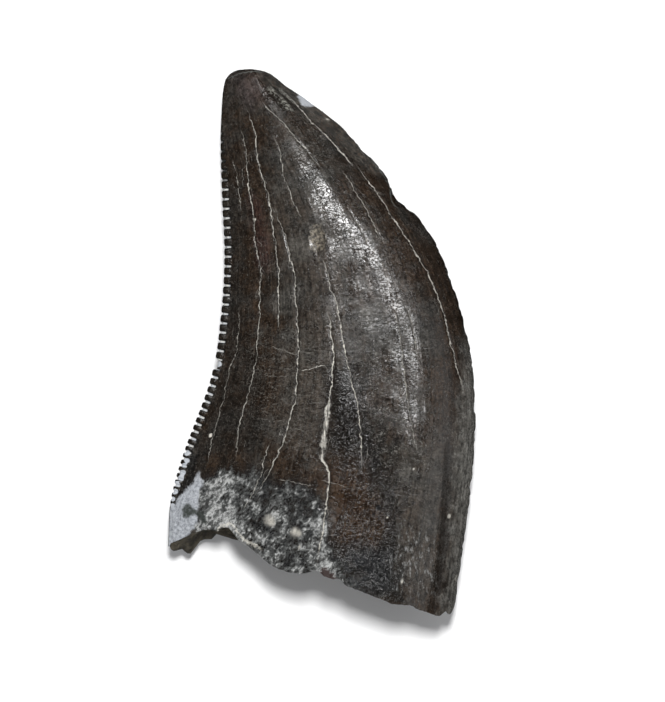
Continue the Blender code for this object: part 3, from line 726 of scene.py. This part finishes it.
def add_side(skin, t, root, count, broken, height, outer):
    """A row of points over one side, from beside the denticles to beside the far edge."""
    s, even = column_shares(count)
    place = np.full(count, t)
    plan = crown_plan(s, place, root, ragged_break(broken, s))
    return skin.add(
        plan[:-1], height(s, place)[:-1], across=even[:-1], along=t, outer=outer)


def add_section(skin, t, root):
    """A row over the outer side and one over the inner side, both ending on the far edge."""
    end = np.ones(1)
    place = np.full(1, t)
    plan = crown_plan(end, place, root, ragged_break(OUTER_BREAK, end))
    far = skin.add(plan, middle_height(end, place), across=1.0, along=t, outer=0.5)
    top = add_side(skin, t, root, OUTER_COLUMNS, OUTER_BREAK, outer_height, 1.0)
    low = add_side(skin, t, root, INNER_COLUMNS, INNER_BREAK, inner_height, 0.0)
    return top + far, low + far


def join_rows(skin, here, there, island):
    """Quads between two rows of equal length."""
    for corners in zip(here, here[1:], there[1:], there):
        skin.face(corners, island)


def join_blade(skin, edge, outer, inner):
    """The faces over the denticles."""
    for chains, island in (([edge] + outer, OUTER), ([edge] + inner, INNER)):
        for chain, following in zip(chains, chains[1:]):
            join_rows(skin, chain, following, island)


def join_crown(skin, sections, rows, roots, island):
    """The faces of one side of the crown, whose first strip meets the finer blade."""
    for here, there, start, end in zip(sections, sections[1:], rows, rows[1:]):
        strip = roots[start:end + 1]
        skin.face((here[0], there[0], *reversed(strip)), island)
        join_rows(skin, here, there, island)


def close_tip(skin, edge, outer, inner, section):
    """Brings the last row together in the point of the tip."""
    end = np.ones(1)
    middle = middle_height(0.5 * end, end)
    apex = skin.add(distal.at(end), middle, across=0.5, along=1.0, outer=0.5)[0]
    for chains, side, island in ((outer, section[0], OUTER), (inner, section[1], INNER)):
        last = [edge[-1]] + [chain[-1] for chain in chains] + side
        for here, there in zip(last, last[1:]):
            skin.face((here, there, apex), island)


def pulp_hollow(along, share):
    """Depth of the broken face behind its rim."""
    wall = ease(share, *PULP_WALL) * ease(1.0 - share, *PULP_WALL)
    ends = ease(along, *PULP_WALL) * ease(1.0 - along, *PULP_WALL)
    return PULP_DEPTH * wall * ends


def cap_levels(skin, top_row, low_row):
    """Rows of points across the broken face, from its outer rim towards its inner one."""
    points = np.vstack(skin.points)
    upper = points[top_row[2:-1:2]]
    place = np.arange(2, OUTER_COLUMNS - 1, 2) / COLUMNS_RATIO
    rim = points[low_row]
    lower = np.column_stack([
        np.interp(place, np.arange(len(rim)), rim[:, axis]) for axis in range(3)])
    along = np.linspace(0.0, 1.0, len(upper))
    levels = []
    for share in np.arange(1, CAP_LEVELS) / CAP_LEVELS:
        face = upper + (lower - upper) * share
        uneven = math.sin(math.pi * share) * rough(face, BREAK_SCALE)
        face[:, 1] += pulp_hollow(along, share) + BREAK_ROUGHNESS * uneven
        core = 1.0 - (2.0 * along - 1.0) ** 2 - (2.0 * share - 1.0) ** 2
        levels.append(skin.add(face[:, :2], face[:, 2], broken=1.0, core=core))
    return levels


def close_base(skin, edge, outer, inner, section):
    """Closes the broken base with a rough face that sinks into the pulp cavity."""
    top_row = [outer[-1][0]] + section[0]
    low_row = [inner[-1][0]] + section[1]
    levels = cap_levels(skin, top_row, low_row)
    first, last = levels[0], levels[-1]
    for column in range(len(first) - 1):
        rim = top_row[2 * column + 2:2 * column + 5]
        skin.face((*rim, first[column + 1], first[column]), CAP)
    for level, following in zip(levels, levels[1:]):
        join_rows(skin, level, following, CAP)
    for column in range(1, INNER_COLUMNS - 1):
        fine = last[2 * column - 1:2 * column + 2]
        skin.face((*fine, low_row[column + 1], low_row[column]), CAP)
    start = [level[0] for level in levels]
    skin.face((*top_row[:3], *start, last[1], low_row[1], low_row[0]), CAP)
    end = [level[-1] for level in reversed(levels)]
    skin.face((*top_row[-3:], low_row[-2], last[-2], *end), CAP)
    skin.face((edge[0], outer[0][0], inner[0][0]), CAP)
    for (a, b), (c, d) in zip(zip(outer, inner), zip(outer[1:], inner[1:])):
        skin.face((a[0], c[0], d[0], b[0]), CAP)


def lay_skin():
    """All the points and faces of the tooth."""
    skin = Skin()
    rows = edge_rows()
    arc, gap = np.array([(row[0], row[1]) for row in rows]).T
    edge, outer, inner, root = add_blade(skin, arc, gap)
    crown = [number for number, row in enumerate(rows) if row[2]]
    sections = [add_section(skin, arc[row] / distal.length, root[row]) for row in crown]
    join_blade(skin, edge, outer, inner)
    join_crown(skin, [top for top, low in sections], crown, outer[-1], OUTER)
    join_crown(skin, [low for top, low in sections], crown, inner[-1], INNER)
    close_tip(skin, edge, outer, inner, sections[-1])
    close_base(skin, edge, outer, inner, sections[0])
    return skin


def surface_marks(plan):
    """The fields that the marks on the outer side are painted and carved from."""
    marks = {name: inside(plan, outline) for name, outline in ZONES.items()}
    for name, places in (("grain", GRAINS), ("pit", PITS), ("smear", SMEARS), ("haze", HAZES)):
        marks[name] = spots(plan, places)
    marks["groove"] = crack_relief(plan)
    return marks


def carve(points, labels, marks):
    """Heights of the outer side with its cracks, chips, pits and crust."""
    across, outer = labels[:, LABELS.index("across")], labels[:, LABELS.index("outer")]
    guard = ease(across, 0.0, CARVED_FROM) * (1.0 - ease(across, CARVED_TO, 1.0))
    guard = guard * np.where(outer == 1.0, 1.0, 0.0)
    grainy = rough(points, GRAIN_SCALE)
    waves = rough(points, UNDULATION_SCALE, octaves=2)
    rise = UNDULATION * waves - marks["groove"]
    rise = rise - SPALL_DEPTH * ease(marks["spall"], *SPALL_EDGE)
    rise = rise + GRAIN_HEIGHT * marks["grain"] - PIT_DEPTH * marks["pit"]
    rise = rise + WEATHERED_DEPTH * grainy * ease(marks["weathered"], *WEATHERED_EDGE)
    rise = rise + CRUST_HEIGHT * (1.0 + 0.5 * grainy) * ease(marks["crust"], *CRUST_EDGE)
    return points[:, 2] + rise * guard


def texture_places(skin, points, labels):
    """A texture place for every face corner: one strip for each side and one for the base."""
    places = []
    across = (labels[:, 0] + BLADE_SPAN) / (1.0 + BLADE_SPAN)
    low, high = points.min(axis=0), points.max(axis=0)
    share = (points - low) / (high - low)
    for corners, island in zip(skin.faces, skin.islands):
        left, width = TEXTURE_STRIPS[island]
        for corner in corners:
            if island == CAP:
                place = (left + width * share[corner, 2], share[corner, 0])
            else:
                place = (left + width * across[corner], labels[corner, 1])
            places.append((place[0], TEXTURE_MARGIN + (1.0 - 2.0 * TEXTURE_MARGIN) * place[1]))
    return np.array(places)


def store(data, name, values):
    """Keeps one number per vertex under a name that the material reads."""
    layer = data.attributes.new(name, "FLOAT", "POINT")
    layer.data.foreach_set("value", np.asarray(values, dtype=np.float32))


def show(name, data):
    """A new object in the scene that shows the data."""
    shown = bpy.data.objects.new(name, data)
    bpy.context.scene.collection.objects.link(shown)
    return shown


def build_tooth(low, high):
    """The tooth, set to stand where the plain model of it stands."""
    skin = lay_skin()
    points = np.vstack(skin.points)
    labels = np.vstack(skin.labels)
    marks = surface_marks(points[:, :2])
    points[:, 2] = carve(points, labels, marks)
    scale = (high.y - low.y) / (MODEL_HIGH[1] - MODEL_LOW[1])
    placed = (points - np.array(MODEL_LOW)) * scale + np.array(low)
    data = bpy.data.meshes.new("tooth_crown")
    data.from_pydata(placed.tolist(), [], skin.faces)
    layer = data.uv_layers.new(name="OFBake")
    layer.data.foreach_set("uv", texture_places(skin, points, labels).ravel())
    shell = bmesh.new()
    shell.from_mesh(data)
    bmesh.ops.recalc_face_normals(shell, faces=shell.faces[:])
    shell.to_mesh(data)
    shell.free()
    for number, name in enumerate(LABELS):
        store(data, name, labels[:, number])
    for name, values in marks.items():
        store(data, name, values)
    data.shade_smooth()
    data.set_sharp_from_angle(angle=SMOOTH_ANGLE)
    return show("tooth_crown", data)


# ---------------------------------------------------------------- colours and finish
def reckon(operation, turned=False):
    """A method that adds one mathematical node, if need be with its inputs turned round."""
    def method(self, *others):
        values = (*others, self) if turned else (self, *others)
        return self.paint.math(operation, *values)
    return method


class Field:
    """A value of a material that can be reckoned with like a plain number."""
    __add__ = __radd__ = reckon("ADD")
    __mul__ = reckon("MULTIPLY")
    __sub__, __rsub__ = reckon("SUBTRACT"), reckon("SUBTRACT", turned=True)
    __truediv__, __abs__ = reckon("DIVIDE"), reckon("ABSOLUTE")

    def __init__(self, paint, socket):
        self.paint, self.socket = paint, socket

    def span(self, low, high, start=0.0, end=1.0):
        """Eases from the start to the end as the value goes from low to high."""
        return self.paint.node(
            "ShaderNodeMapRange", (self, low, high, start, end),
            interpolation_type="SMOOTHSTEP")

    def eased(self, name):
        return self.span(*EASES[name])

    def stretch(self, factors):
        """A vector or a colour, multiplied part by part."""
        return self.paint.node("ShaderNodeVectorMath", (self, factors), operation="MULTIPLY")


class Paint:
    """One material, with short ways to add shader nodes to it."""

    def __init__(self, name):
        self.material = bpy.data.materials.new(name)
        self.material.use_nodes = True
        self.tree = self.material.node_tree
        metres = self.node("ShaderNodeTexCoord", output="Object")
        self.place = metres.stretch((1.0 / MILLIMETRE,) * 3)
        self.x, self.y, self.z = (
            self.node("ShaderNodeSeparateXYZ", (self.place,), axis) for axis in "XYZ")

    def node(self, kind, inputs=(), output=0, **settings):
        """One output of a new node, whose inputs are given in order or by name."""
        node = self.tree.nodes.new(kind)
        for name, value in settings.items():
            setattr(node, name, value)
        given = inputs.items() if isinstance(inputs, dict) else enumerate(inputs)
        for name, value in given:
            self.feed(node.inputs[name], value)
        return Field(self, node.outputs[output])

    def feed(self, socket, value):
        if isinstance(value, Field):
            self.tree.links.new(value.socket, socket)
        else:
            socket.default_value = value

    def finish(self, values):
        """The material, once the shader's inputs are fed by name."""
        shader = self.tree.nodes["Principled BSDF"]
        for name, value in values.items():
            self.feed(shader.inputs[name], value)
        return self.material

    def math(self, operation, *values):
        return self.node("ShaderNodeMath", values, operation=operation)

    def larger(self, first, *others):
        for other in others:
            first = self.math("MAXIMUM", first, other)
        return first

    def vector(self, x, y, z):
        return self.node("ShaderNodeCombineXYZ", (x, y, z))

    def noise(self, place, scale, detail=3.0, roughness=0.55, distortion=0.0):
        return self.node("ShaderNodeTexNoise", {
            "Vector": place, "Scale": scale, "Detail": detail, "Roughness": roughness,
            "Distortion": distortion})

    def pattern(self, name, place=None):
        return self.noise(place or self.place, *PATTERNS[name])

    def ridge(self, name, place=None):
        """Thin winding lines, where a noise crosses its middle."""
        scale, width, distortion = RIDGES[name]
        value = self.noise(place or self.place, scale, 1.0, 0.5, distortion)
        return abs(value - 0.5).span(0.0, width, 1.0, 0.0)

    def mix(self, share, first, second):
        return self.node("ShaderNodeMix", {0: share, 6: first, 7: second}, 2, data_type="RGBA")

    def stored(self, name):
        return self.node("ShaderNodeAttribute", output="Fac", attribute_name=name)

    def zone(self, name, wobble, side=1.0):
        """Share of a zone's colour, whose soft edge is uneven by the wobble."""
        return (self.stored(name) + wobble).span(-SOFTNESS[name], SOFTNESS[name]) * side


class Coat:
    """A colour that tints are laid over, one after another."""

    def __init__(self, paint, colour):
        self.paint, self.colour = paint, colour

    def lay(self, tint, share):
        self.colour = self.paint.mix(share, self.colour, tint)

    def brighten(self, gain):
        self.colour = self.colour.stretch(gain)


def paint_line(paint, mark, across, along, waver, thickness):
    """Share of filling across one line, which thins out at either end."""
    points, width, strength, _ = mark
    line = paint.node("ShaderNodeFloatCurve", {"Value": along * (1.0 / PLAN) + 0.5})
    mapping = line.socket.node.mapping
    knots = mapping.curves[0].points
    placed = [(y / PLAN + 0.5, x / PLAN + 0.5) for x, y in points]
    for knot, place in zip((knots[0], knots[-1]), (placed[0], placed[-1])):
        knot.location = place
    for place in placed[1:-1]:
        knots.new(*place)
    for knot in knots:
        knot.handle_type = "VECTOR"
    mapping.use_clip = False
    mapping.update()
    (x0, y0), (x1, y1) = points[0], points[-1]
    lean = (y1 - y0) / math.hypot(x1 - x0, y1 - y0)
    away = abs(across - (line * PLAN - 0.5 * PLAN) + waver) * lean
    filled = (away / (thickness * (0.5 * width * CRACK_BREADTH))).eased("line")
    taper = CRACK_ENDS * (y1 - y0)
    rising = along.span(y0, y0 + taper)
    falling = along.span(y1 - taper, y1, 1.0, 0.0)
    return filled * rising * falling * strength


def paint_lines(paint, marks, waver, thickness, crosswise=False):
    """Share of filling across several lines on the outer side."""
    across, along = (paint.y, paint.x) if crosswise else (paint.x, paint.y)
    return paint.larger(
        *[paint_line(paint, mark, across, along, waver, thickness) for mark in marks])


def paint_cracks(paint, outer):
    """The pale filling of all the cracks, which is broken up and uneven along them."""
    place, y = paint.place, paint.y
    across = (1.0 - outer) * UNDER_SHIFT + paint.x
    waver = sum((paint.noise(place, scale, 2.0) - 0.5) * size for size, scale in WAVERS)
    thickness = paint.pattern("thinning").eased("thinning")
    stray = paint.pattern("stretches").eased("stray")
    twin_shown = paint.pattern("twins").eased("twins")
    closing = y.span(WIDE_TO - WIDE_ENDS, WIDE_TO, 1.0, 0.0)
    opening = y.span(WIDE_FROM, WIDE_FROM + WIDE_ENDS) * closing
    fibres = paint.pattern("fibres", place.stretch(FIBRE_STRETCH)).eased("fibres")
    shown = paint_lines(paint, CROSS_CRACKS, waver, thickness, True) * outer
    for number, mark in enumerate(CRACKS):
        if number == WIDE_CRACK:
            widened = thickness * (opening * WIDE_GAIN + 1.0)
            line = paint_line(paint, mark, across, y, waver, widened) * (opening * fibres + 1.0)
        else:
            line = paint_line(paint, mark, across, y, waver, thickness)
        twin = paint_line(paint, mark, across + stray, y, waver, TWIN_THICKNESS)
        shown = paint.larger(shown, line, twin * twin_shown)
    bits = paint.pattern("bits").eased("bits")
    lengths = paint.pattern("stretches").eased("lengths")
    return shown * bits * lengths


def paint_enamel(coat, part):
    """Dark enamel in brown and grey, with streaks, wrinkles and fine scratches, painted shade over
    the distal side, a partly painted sheen on the margin, and painted glints and sparkle.
    """
    paint, outer, mottle, grain, edge = coat.paint, part.outer, part.mottle, part.grain, part.edge
    coat.lay(GREY, paint.pattern("patches").eased("patches"))
    coat.lay(UMBER, mottle.eased("umber"))
    for name, share, tint in ZONE_TINTS:
        side = 1.0 if name in BOTH_SIDES else outer
        coat.lay(tint, paint.zone(name, edge * min(1.0, 2.0 * SOFTNESS[name]), side) * share)
    coat.lay(ASH, (paint.stored("haze") + edge * 0.5).eased("haze") * outer)
    coat.lay(TAN, paint.zone("spall", part.fine, outer) * grain.eased("spall"))
    clouds = paint.pattern("clouds")
    coat.brighten(clouds.eased("clouds"))
    coat.brighten(part.streaks.eased("streaks"))
    coat.brighten(grain.eased("grain"))
    coat.lay(PALE, paint.pattern("flecks").eased("flecks"))
    coat.brighten(part.dull * clouds.eased("worn") + 1.0)
    coat.lay(VEIN, part.dull * paint.ridge("veins") * VEIN_SHARE)
    coat.lay(TAN, part.dull * part.speck.eased("worn_specks"))
    coat.lay(PALE, paint.ridge("hairs", part.lengthwise) * mottle.eased("hairs"))
    scratch = paint.ridge("scratches", paint.place.stretch(SCRATCH_STRETCH))
    crazed = paint.zone("crazed", edge, outer) * CRAZED_SHARE + SCRATCH_SHARE
    coat.lay(PALE, scratch * crazed)
    # Painted highlights: pale glints along the wrinkles in the bright band, stronger lower down.
    painted_glints = part.wrinkle * part.wrinkle * part.band * mottle.eased("painted_glints")
    coat.lay(PALE, painted_glints * paint.y.eased("glints_down"))
    coat.brighten(1.0 - part.murky * MURKY_LOSS)
    # Painted sparkle: pale specks that stand in for glints, more of them lower down.
    painted_sparkle = paint.pattern("painted_sparkle").eased("painted_sparkle") * clouds.eased("star_clouds")
    coat.lay(PALE, painted_sparkle * paint.y.eased("stars_down"))


def paint_root_end(coat, part):
    """The weathered end of the crown: chalky strands over dark, and clinging matrix."""
    paint, outer, fine, speck = coat.paint, part.outer, part.fine, part.speck
    x, y = paint.x, paint.y
    coat.lay(paint.mix(part.mottle.eased("slate"), SLATE, UMBER), part.weathered * SLATE_SHARE)
    slanting = paint.vector((x + y) * STRAND_ALONG, (y - x) * STRAND_ACROSS, paint.z)
    strands = paint.pattern("strands", slanting)
    cloud = paint.pattern("chalk")
    chalky = (
        cloud * CLOUD_WEIGHT + strands * STRAND_WEIGHT + speck * SPECK_WEIGHT
        + x.eased("left_chalk") + paint.zone("fan", part.edge, outer) * FAN_CHALK
        - paint.zone("blue", part.edge, outer) * BLUE_CLEAR
        + (part.weathered - 1.0) * CHALK_FADE)
    film = chalky.eased("film")
    coat.lay(CHALK_GREY, film)
    coat.lay(CHALK, chalky.eased("chalk"))
    upright = paint.pattern("upright", paint.place.stretch(SPECKLE_STRETCH))
    coat.lay(CHALK, paint.zone("speckled", part.edge, outer) * upright.eased("upright"))
    coat.lay(DENTINE_DARK, paint.zone("scoop", fine * 0.4, outer))
    coat.lay(MAROON, paint.zone("chip", fine, outer))
    rims = paint_lines(paint, RIMS, fine * 1.2, part.grain.eased("rims"), True)
    coat.lay(CREAM, rims * outer * speck.eased("rim_specks"))

    blurred = fine * 0.6
    coat.lay(BLACK, (paint.stored("pit") + fine).eased("pits") * outer)
    coat.lay(CREAM, (paint.stored("grain") + blurred).eased("grains") * outer)
    coat.lay(CRUST, paint.zone("chalk", blurred))
    coat.lay(CREAM, paint.zone("cream", blurred))
    shaded = (part.grain + speck).eased("crust_shade")
    coat.lay(paint.mix(shaded, CRUST_SHADE, CRUST), part.crust)
    for name, tint in (("blob", MOSS), ("arc", MOSS), ("lip", LIP)):
        coat.lay(tint, paint.zone(name, blurred, outer) * speck.eased("specks"))
    return paint.larger(film, part.crust)


def paint_marks(coat, part):
    """The broken face, the seam, the worn lines, a painted highlight along the tip facet, painted
    shade along the crack grooves, and the cracks.
    """
    paint, mottle, grain, fine = coat.paint, part.mottle, part.grain, part.fine
    core = paint.stored("core")
    dentine = Coat(paint, paint.mix(mottle.eased("dentine"), DENTINE_DARK, DENTINE))
    wavy = mottle * RING_WAVER + core
    rings = paint.pattern("rings", paint.vector(wavy * RING_COUNT, mottle, 0.0))
    dentine.lay(UMBER, rings.eased("rings"))
    infill = paint.mix(grain.eased("dentine"), DENTINE_DARK, TAN)
    dentine.lay(infill, (core + part.edge + fine * 0.8).eased("infill"))
    dentine.lay(TAN, grain.eased("crumbly"))
    coat.lay(dentine.colour, part.broken)
    thickness = grain.eased("uneven")
    crumbs = part.speck.eased("crumbs")
    # Seams, crumbling lines and bevels are marks of the tooth; the facet line is a painted
    # highlight.
    for marks, tint, wobble, breadth, bits, crosswise in (
            (SEAMS, UMBER, 0.35, 1.0, 1.0, False), (EROSION, CRUMB, 1.2, 2.2, crumbs, False),
            (BEVELS, LICHEN, 0.4, 1.0, 1.0, False), (FACET_HIGHLIGHTS, LICHEN, 0.4, 1.0, 1.0, True)):
        shown = paint_lines(paint, marks, fine * wobble, thickness * breadth, crosswise)
        coat.lay(tint, shown * bits * part.outer)
    # Painted shade: umber darkening along the carved crack grooves.
    coat.lay(UMBER, paint.stored("groove").eased("groove") * part.outer)
    coat.lay(CREAM, part.cracks)


def paint_denticles(coat, part):
    """Denticles with painted shade in the gaps between them, and pale matrix that fills and smears
    over their gaps.
    """
    paint, grain, gap = coat.paint, part.grain, coat.paint.stored("gap")
    coat.lay(paint.mix(grain.eased("denticles"), UMBER, OLIVE), part.across.eased("blade"))
    # Painted shade: black in the gaps between the denticles, under the matrix.
    coat.lay(BLACK, gap.eased("gaps"))
    filled = (gap - (part.across + BLADE_SPAN) * MATRIX_FADE + part.fine).eased("filled")
    filled = filled * paint.y.eased("matrix_end")
    coat.lay(paint.mix(grain.eased("filling"), FILLING, CRUST), filled * MATRIX_SHARE)
    smear = (paint.stored("smear") + part.fine * 0.8).eased("smear")
    smear = smear * paint.stored("outer").eased("smear_side")
    coat.lay(CRUST, smear)
    return paint.larger(filled, smear)


def finish_enamel(paint, part, chalk, matrix):
    """The polish, which is dull where the tooth is dry, and the finest relief."""
    dry = paint.larger(chalk, part.broken, matrix, part.dull * WORN_DRY, part.cracks)
    matt = paint.pattern("matt").eased("matt")
    roughness = (
        part.grain.eased("polish") + matt + dry * DRY
        + paint.zone("matt", part.edge, part.outer) * MATT_ZONE
        + part.wrinkle * part.band * WRINKLE_MATT - part.murky * SLEEK - part.band * SHARP)
    deeper = paint.y.eased("wrinkles_down")
    relief = (
        part.wrinkle * (part.band * deeper + WRINKLE_ELSEWHERE)
        + paint.pattern("ribs", part.lengthwise) * STREAK_RELIEF
        + paint.pattern("bumps") * GRAIN_RELIEF
        + (chalk + part.broken) * paint.pattern("chaps") * DRY_RELIEF
        - part.cracks * CRACK_RELIEF)
    normal = paint.node(
        "ShaderNodeBump", {"Strength": 1.0, "Distance": MILLIMETRE, "Height": relief})
    return {"Roughness": roughness, "Normal": normal}


def enamel():
    """Dark fossil enamel with its cracks, weathering, crust and broken face."""
    paint = Paint("fossil_enamel")
    mottle, grain = paint.pattern("mottle"), paint.pattern("grain")
    part = SimpleNamespace(
        outer=paint.stored("outer").eased("outer"), broken=paint.stored("broken").eased("broken"),
        across=paint.stored("across"), along=paint.stored("along"), mottle=mottle, grain=grain,
        speck=paint.pattern("speck"), edge=(mottle - 0.5) * EDGE_WOBBLE,
        fine=(grain - 0.5) * FINE_WOBBLE)
    outer, edge, across = part.outer, part.edge, part.across
    part.lengthwise = paint.vector(
        across * STREAKS_ACROSS, part.along * STREAKS_ALONG, outer * STREAKS_ASIDE)
    part.streaks = paint.pattern("streaks", part.lengthwise)
    part.wrinkle = paint.ridge("wrinkles", paint.place.stretch(WRINKLE_STRETCH))
    part.band = paint.zone("band", edge, outer)
    part.murky = paint.zone("murky", edge, outer)
    part.dull = paint.zone("dull", part.fine)
    under = (part.along + edge * 0.15).eased("under") * (1.0 - outer)
    part.weathered = paint.larger(
        paint.zone("weathered", edge, outer), under * across.eased("under_fade"))
    part.crust = paint.zone("crust", edge * 0.5, outer)
    part.cracks = paint_cracks(paint, outer) * (1.0 - part.broken)

    coat = Coat(paint, BROWN)
    paint_enamel(coat, part)
    chalk = paint_root_end(coat, part)
    paint_marks(coat, part)
    matrix = paint_denticles(coat, part)
    return paint.finish({"Base Color": coat.colour, **finish_enamel(paint, part, chalk, matrix)})


# ---------------------------------------------------------------- floor, light and camera
def add_floor():
    data = bpy.data.meshes.new("floor")
    half = FLOOR_HALF
    corners = [(-half, -half, 0.0), (half, -half, 0.0), (half, half, 0.0), (-half, half, 0.0)]
    data.from_pydata(corners, [], [(0, 1, 2, 3)])
    data.materials.append(Paint("floor_white").finish(FLOOR_FINISH))
    return show("floor", data)


def add_light(name, place, size, power, lights):
    """A soft rectangular light that faces the tooth, to light it or to gleam on it."""
    light = bpy.data.lights.new(name, "AREA")
    light.shape = "RECTANGLE"
    light.size, light.size_y = size
    light.energy = power
    lamp = show(name, light)
    lamp.location = place
    lamp.rotation_euler = (Vector(LIGHT_AIM) - Vector(place)).to_track_quat("-Z", "Y").to_euler()
    lamp.visible_diffuse, lamp.visible_glossy = lights, not lights


def add_camera():
    data = bpy.data.cameras.new("camera")
    data.lens = LENS
    data.clip_start, data.clip_end = CLIP_RANGE
    camera = show("camera", data)
    camera.location = CAMERA_PLACE
    bpy.context.scene.camera = camera


def set_surroundings():
    world = bpy.data.worlds.new("studio")
    world.use_nodes = True
    background = world.node_tree.nodes["Background"]
    background.inputs["Color"].default_value = WORLD_COLOUR
    background.inputs["Strength"].default_value = WORLD_STRENGTH
    world.cycles_visibility.glossy = False
    bpy.context.scene.world = world
    bpy.context.scene.view_settings.view_transform = "Standard"


def main():
    low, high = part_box("tooth")
    tooth = build_tooth(low, high)
    tooth.data.materials.append(enamel())
    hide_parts("tooth")
    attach(tooth, "root")
    floor = add_floor()
    floor.visible_glossy = False
    set_surroundings()
    for light in LIGHTS:
        add_light(*light)
    add_camera()


main()
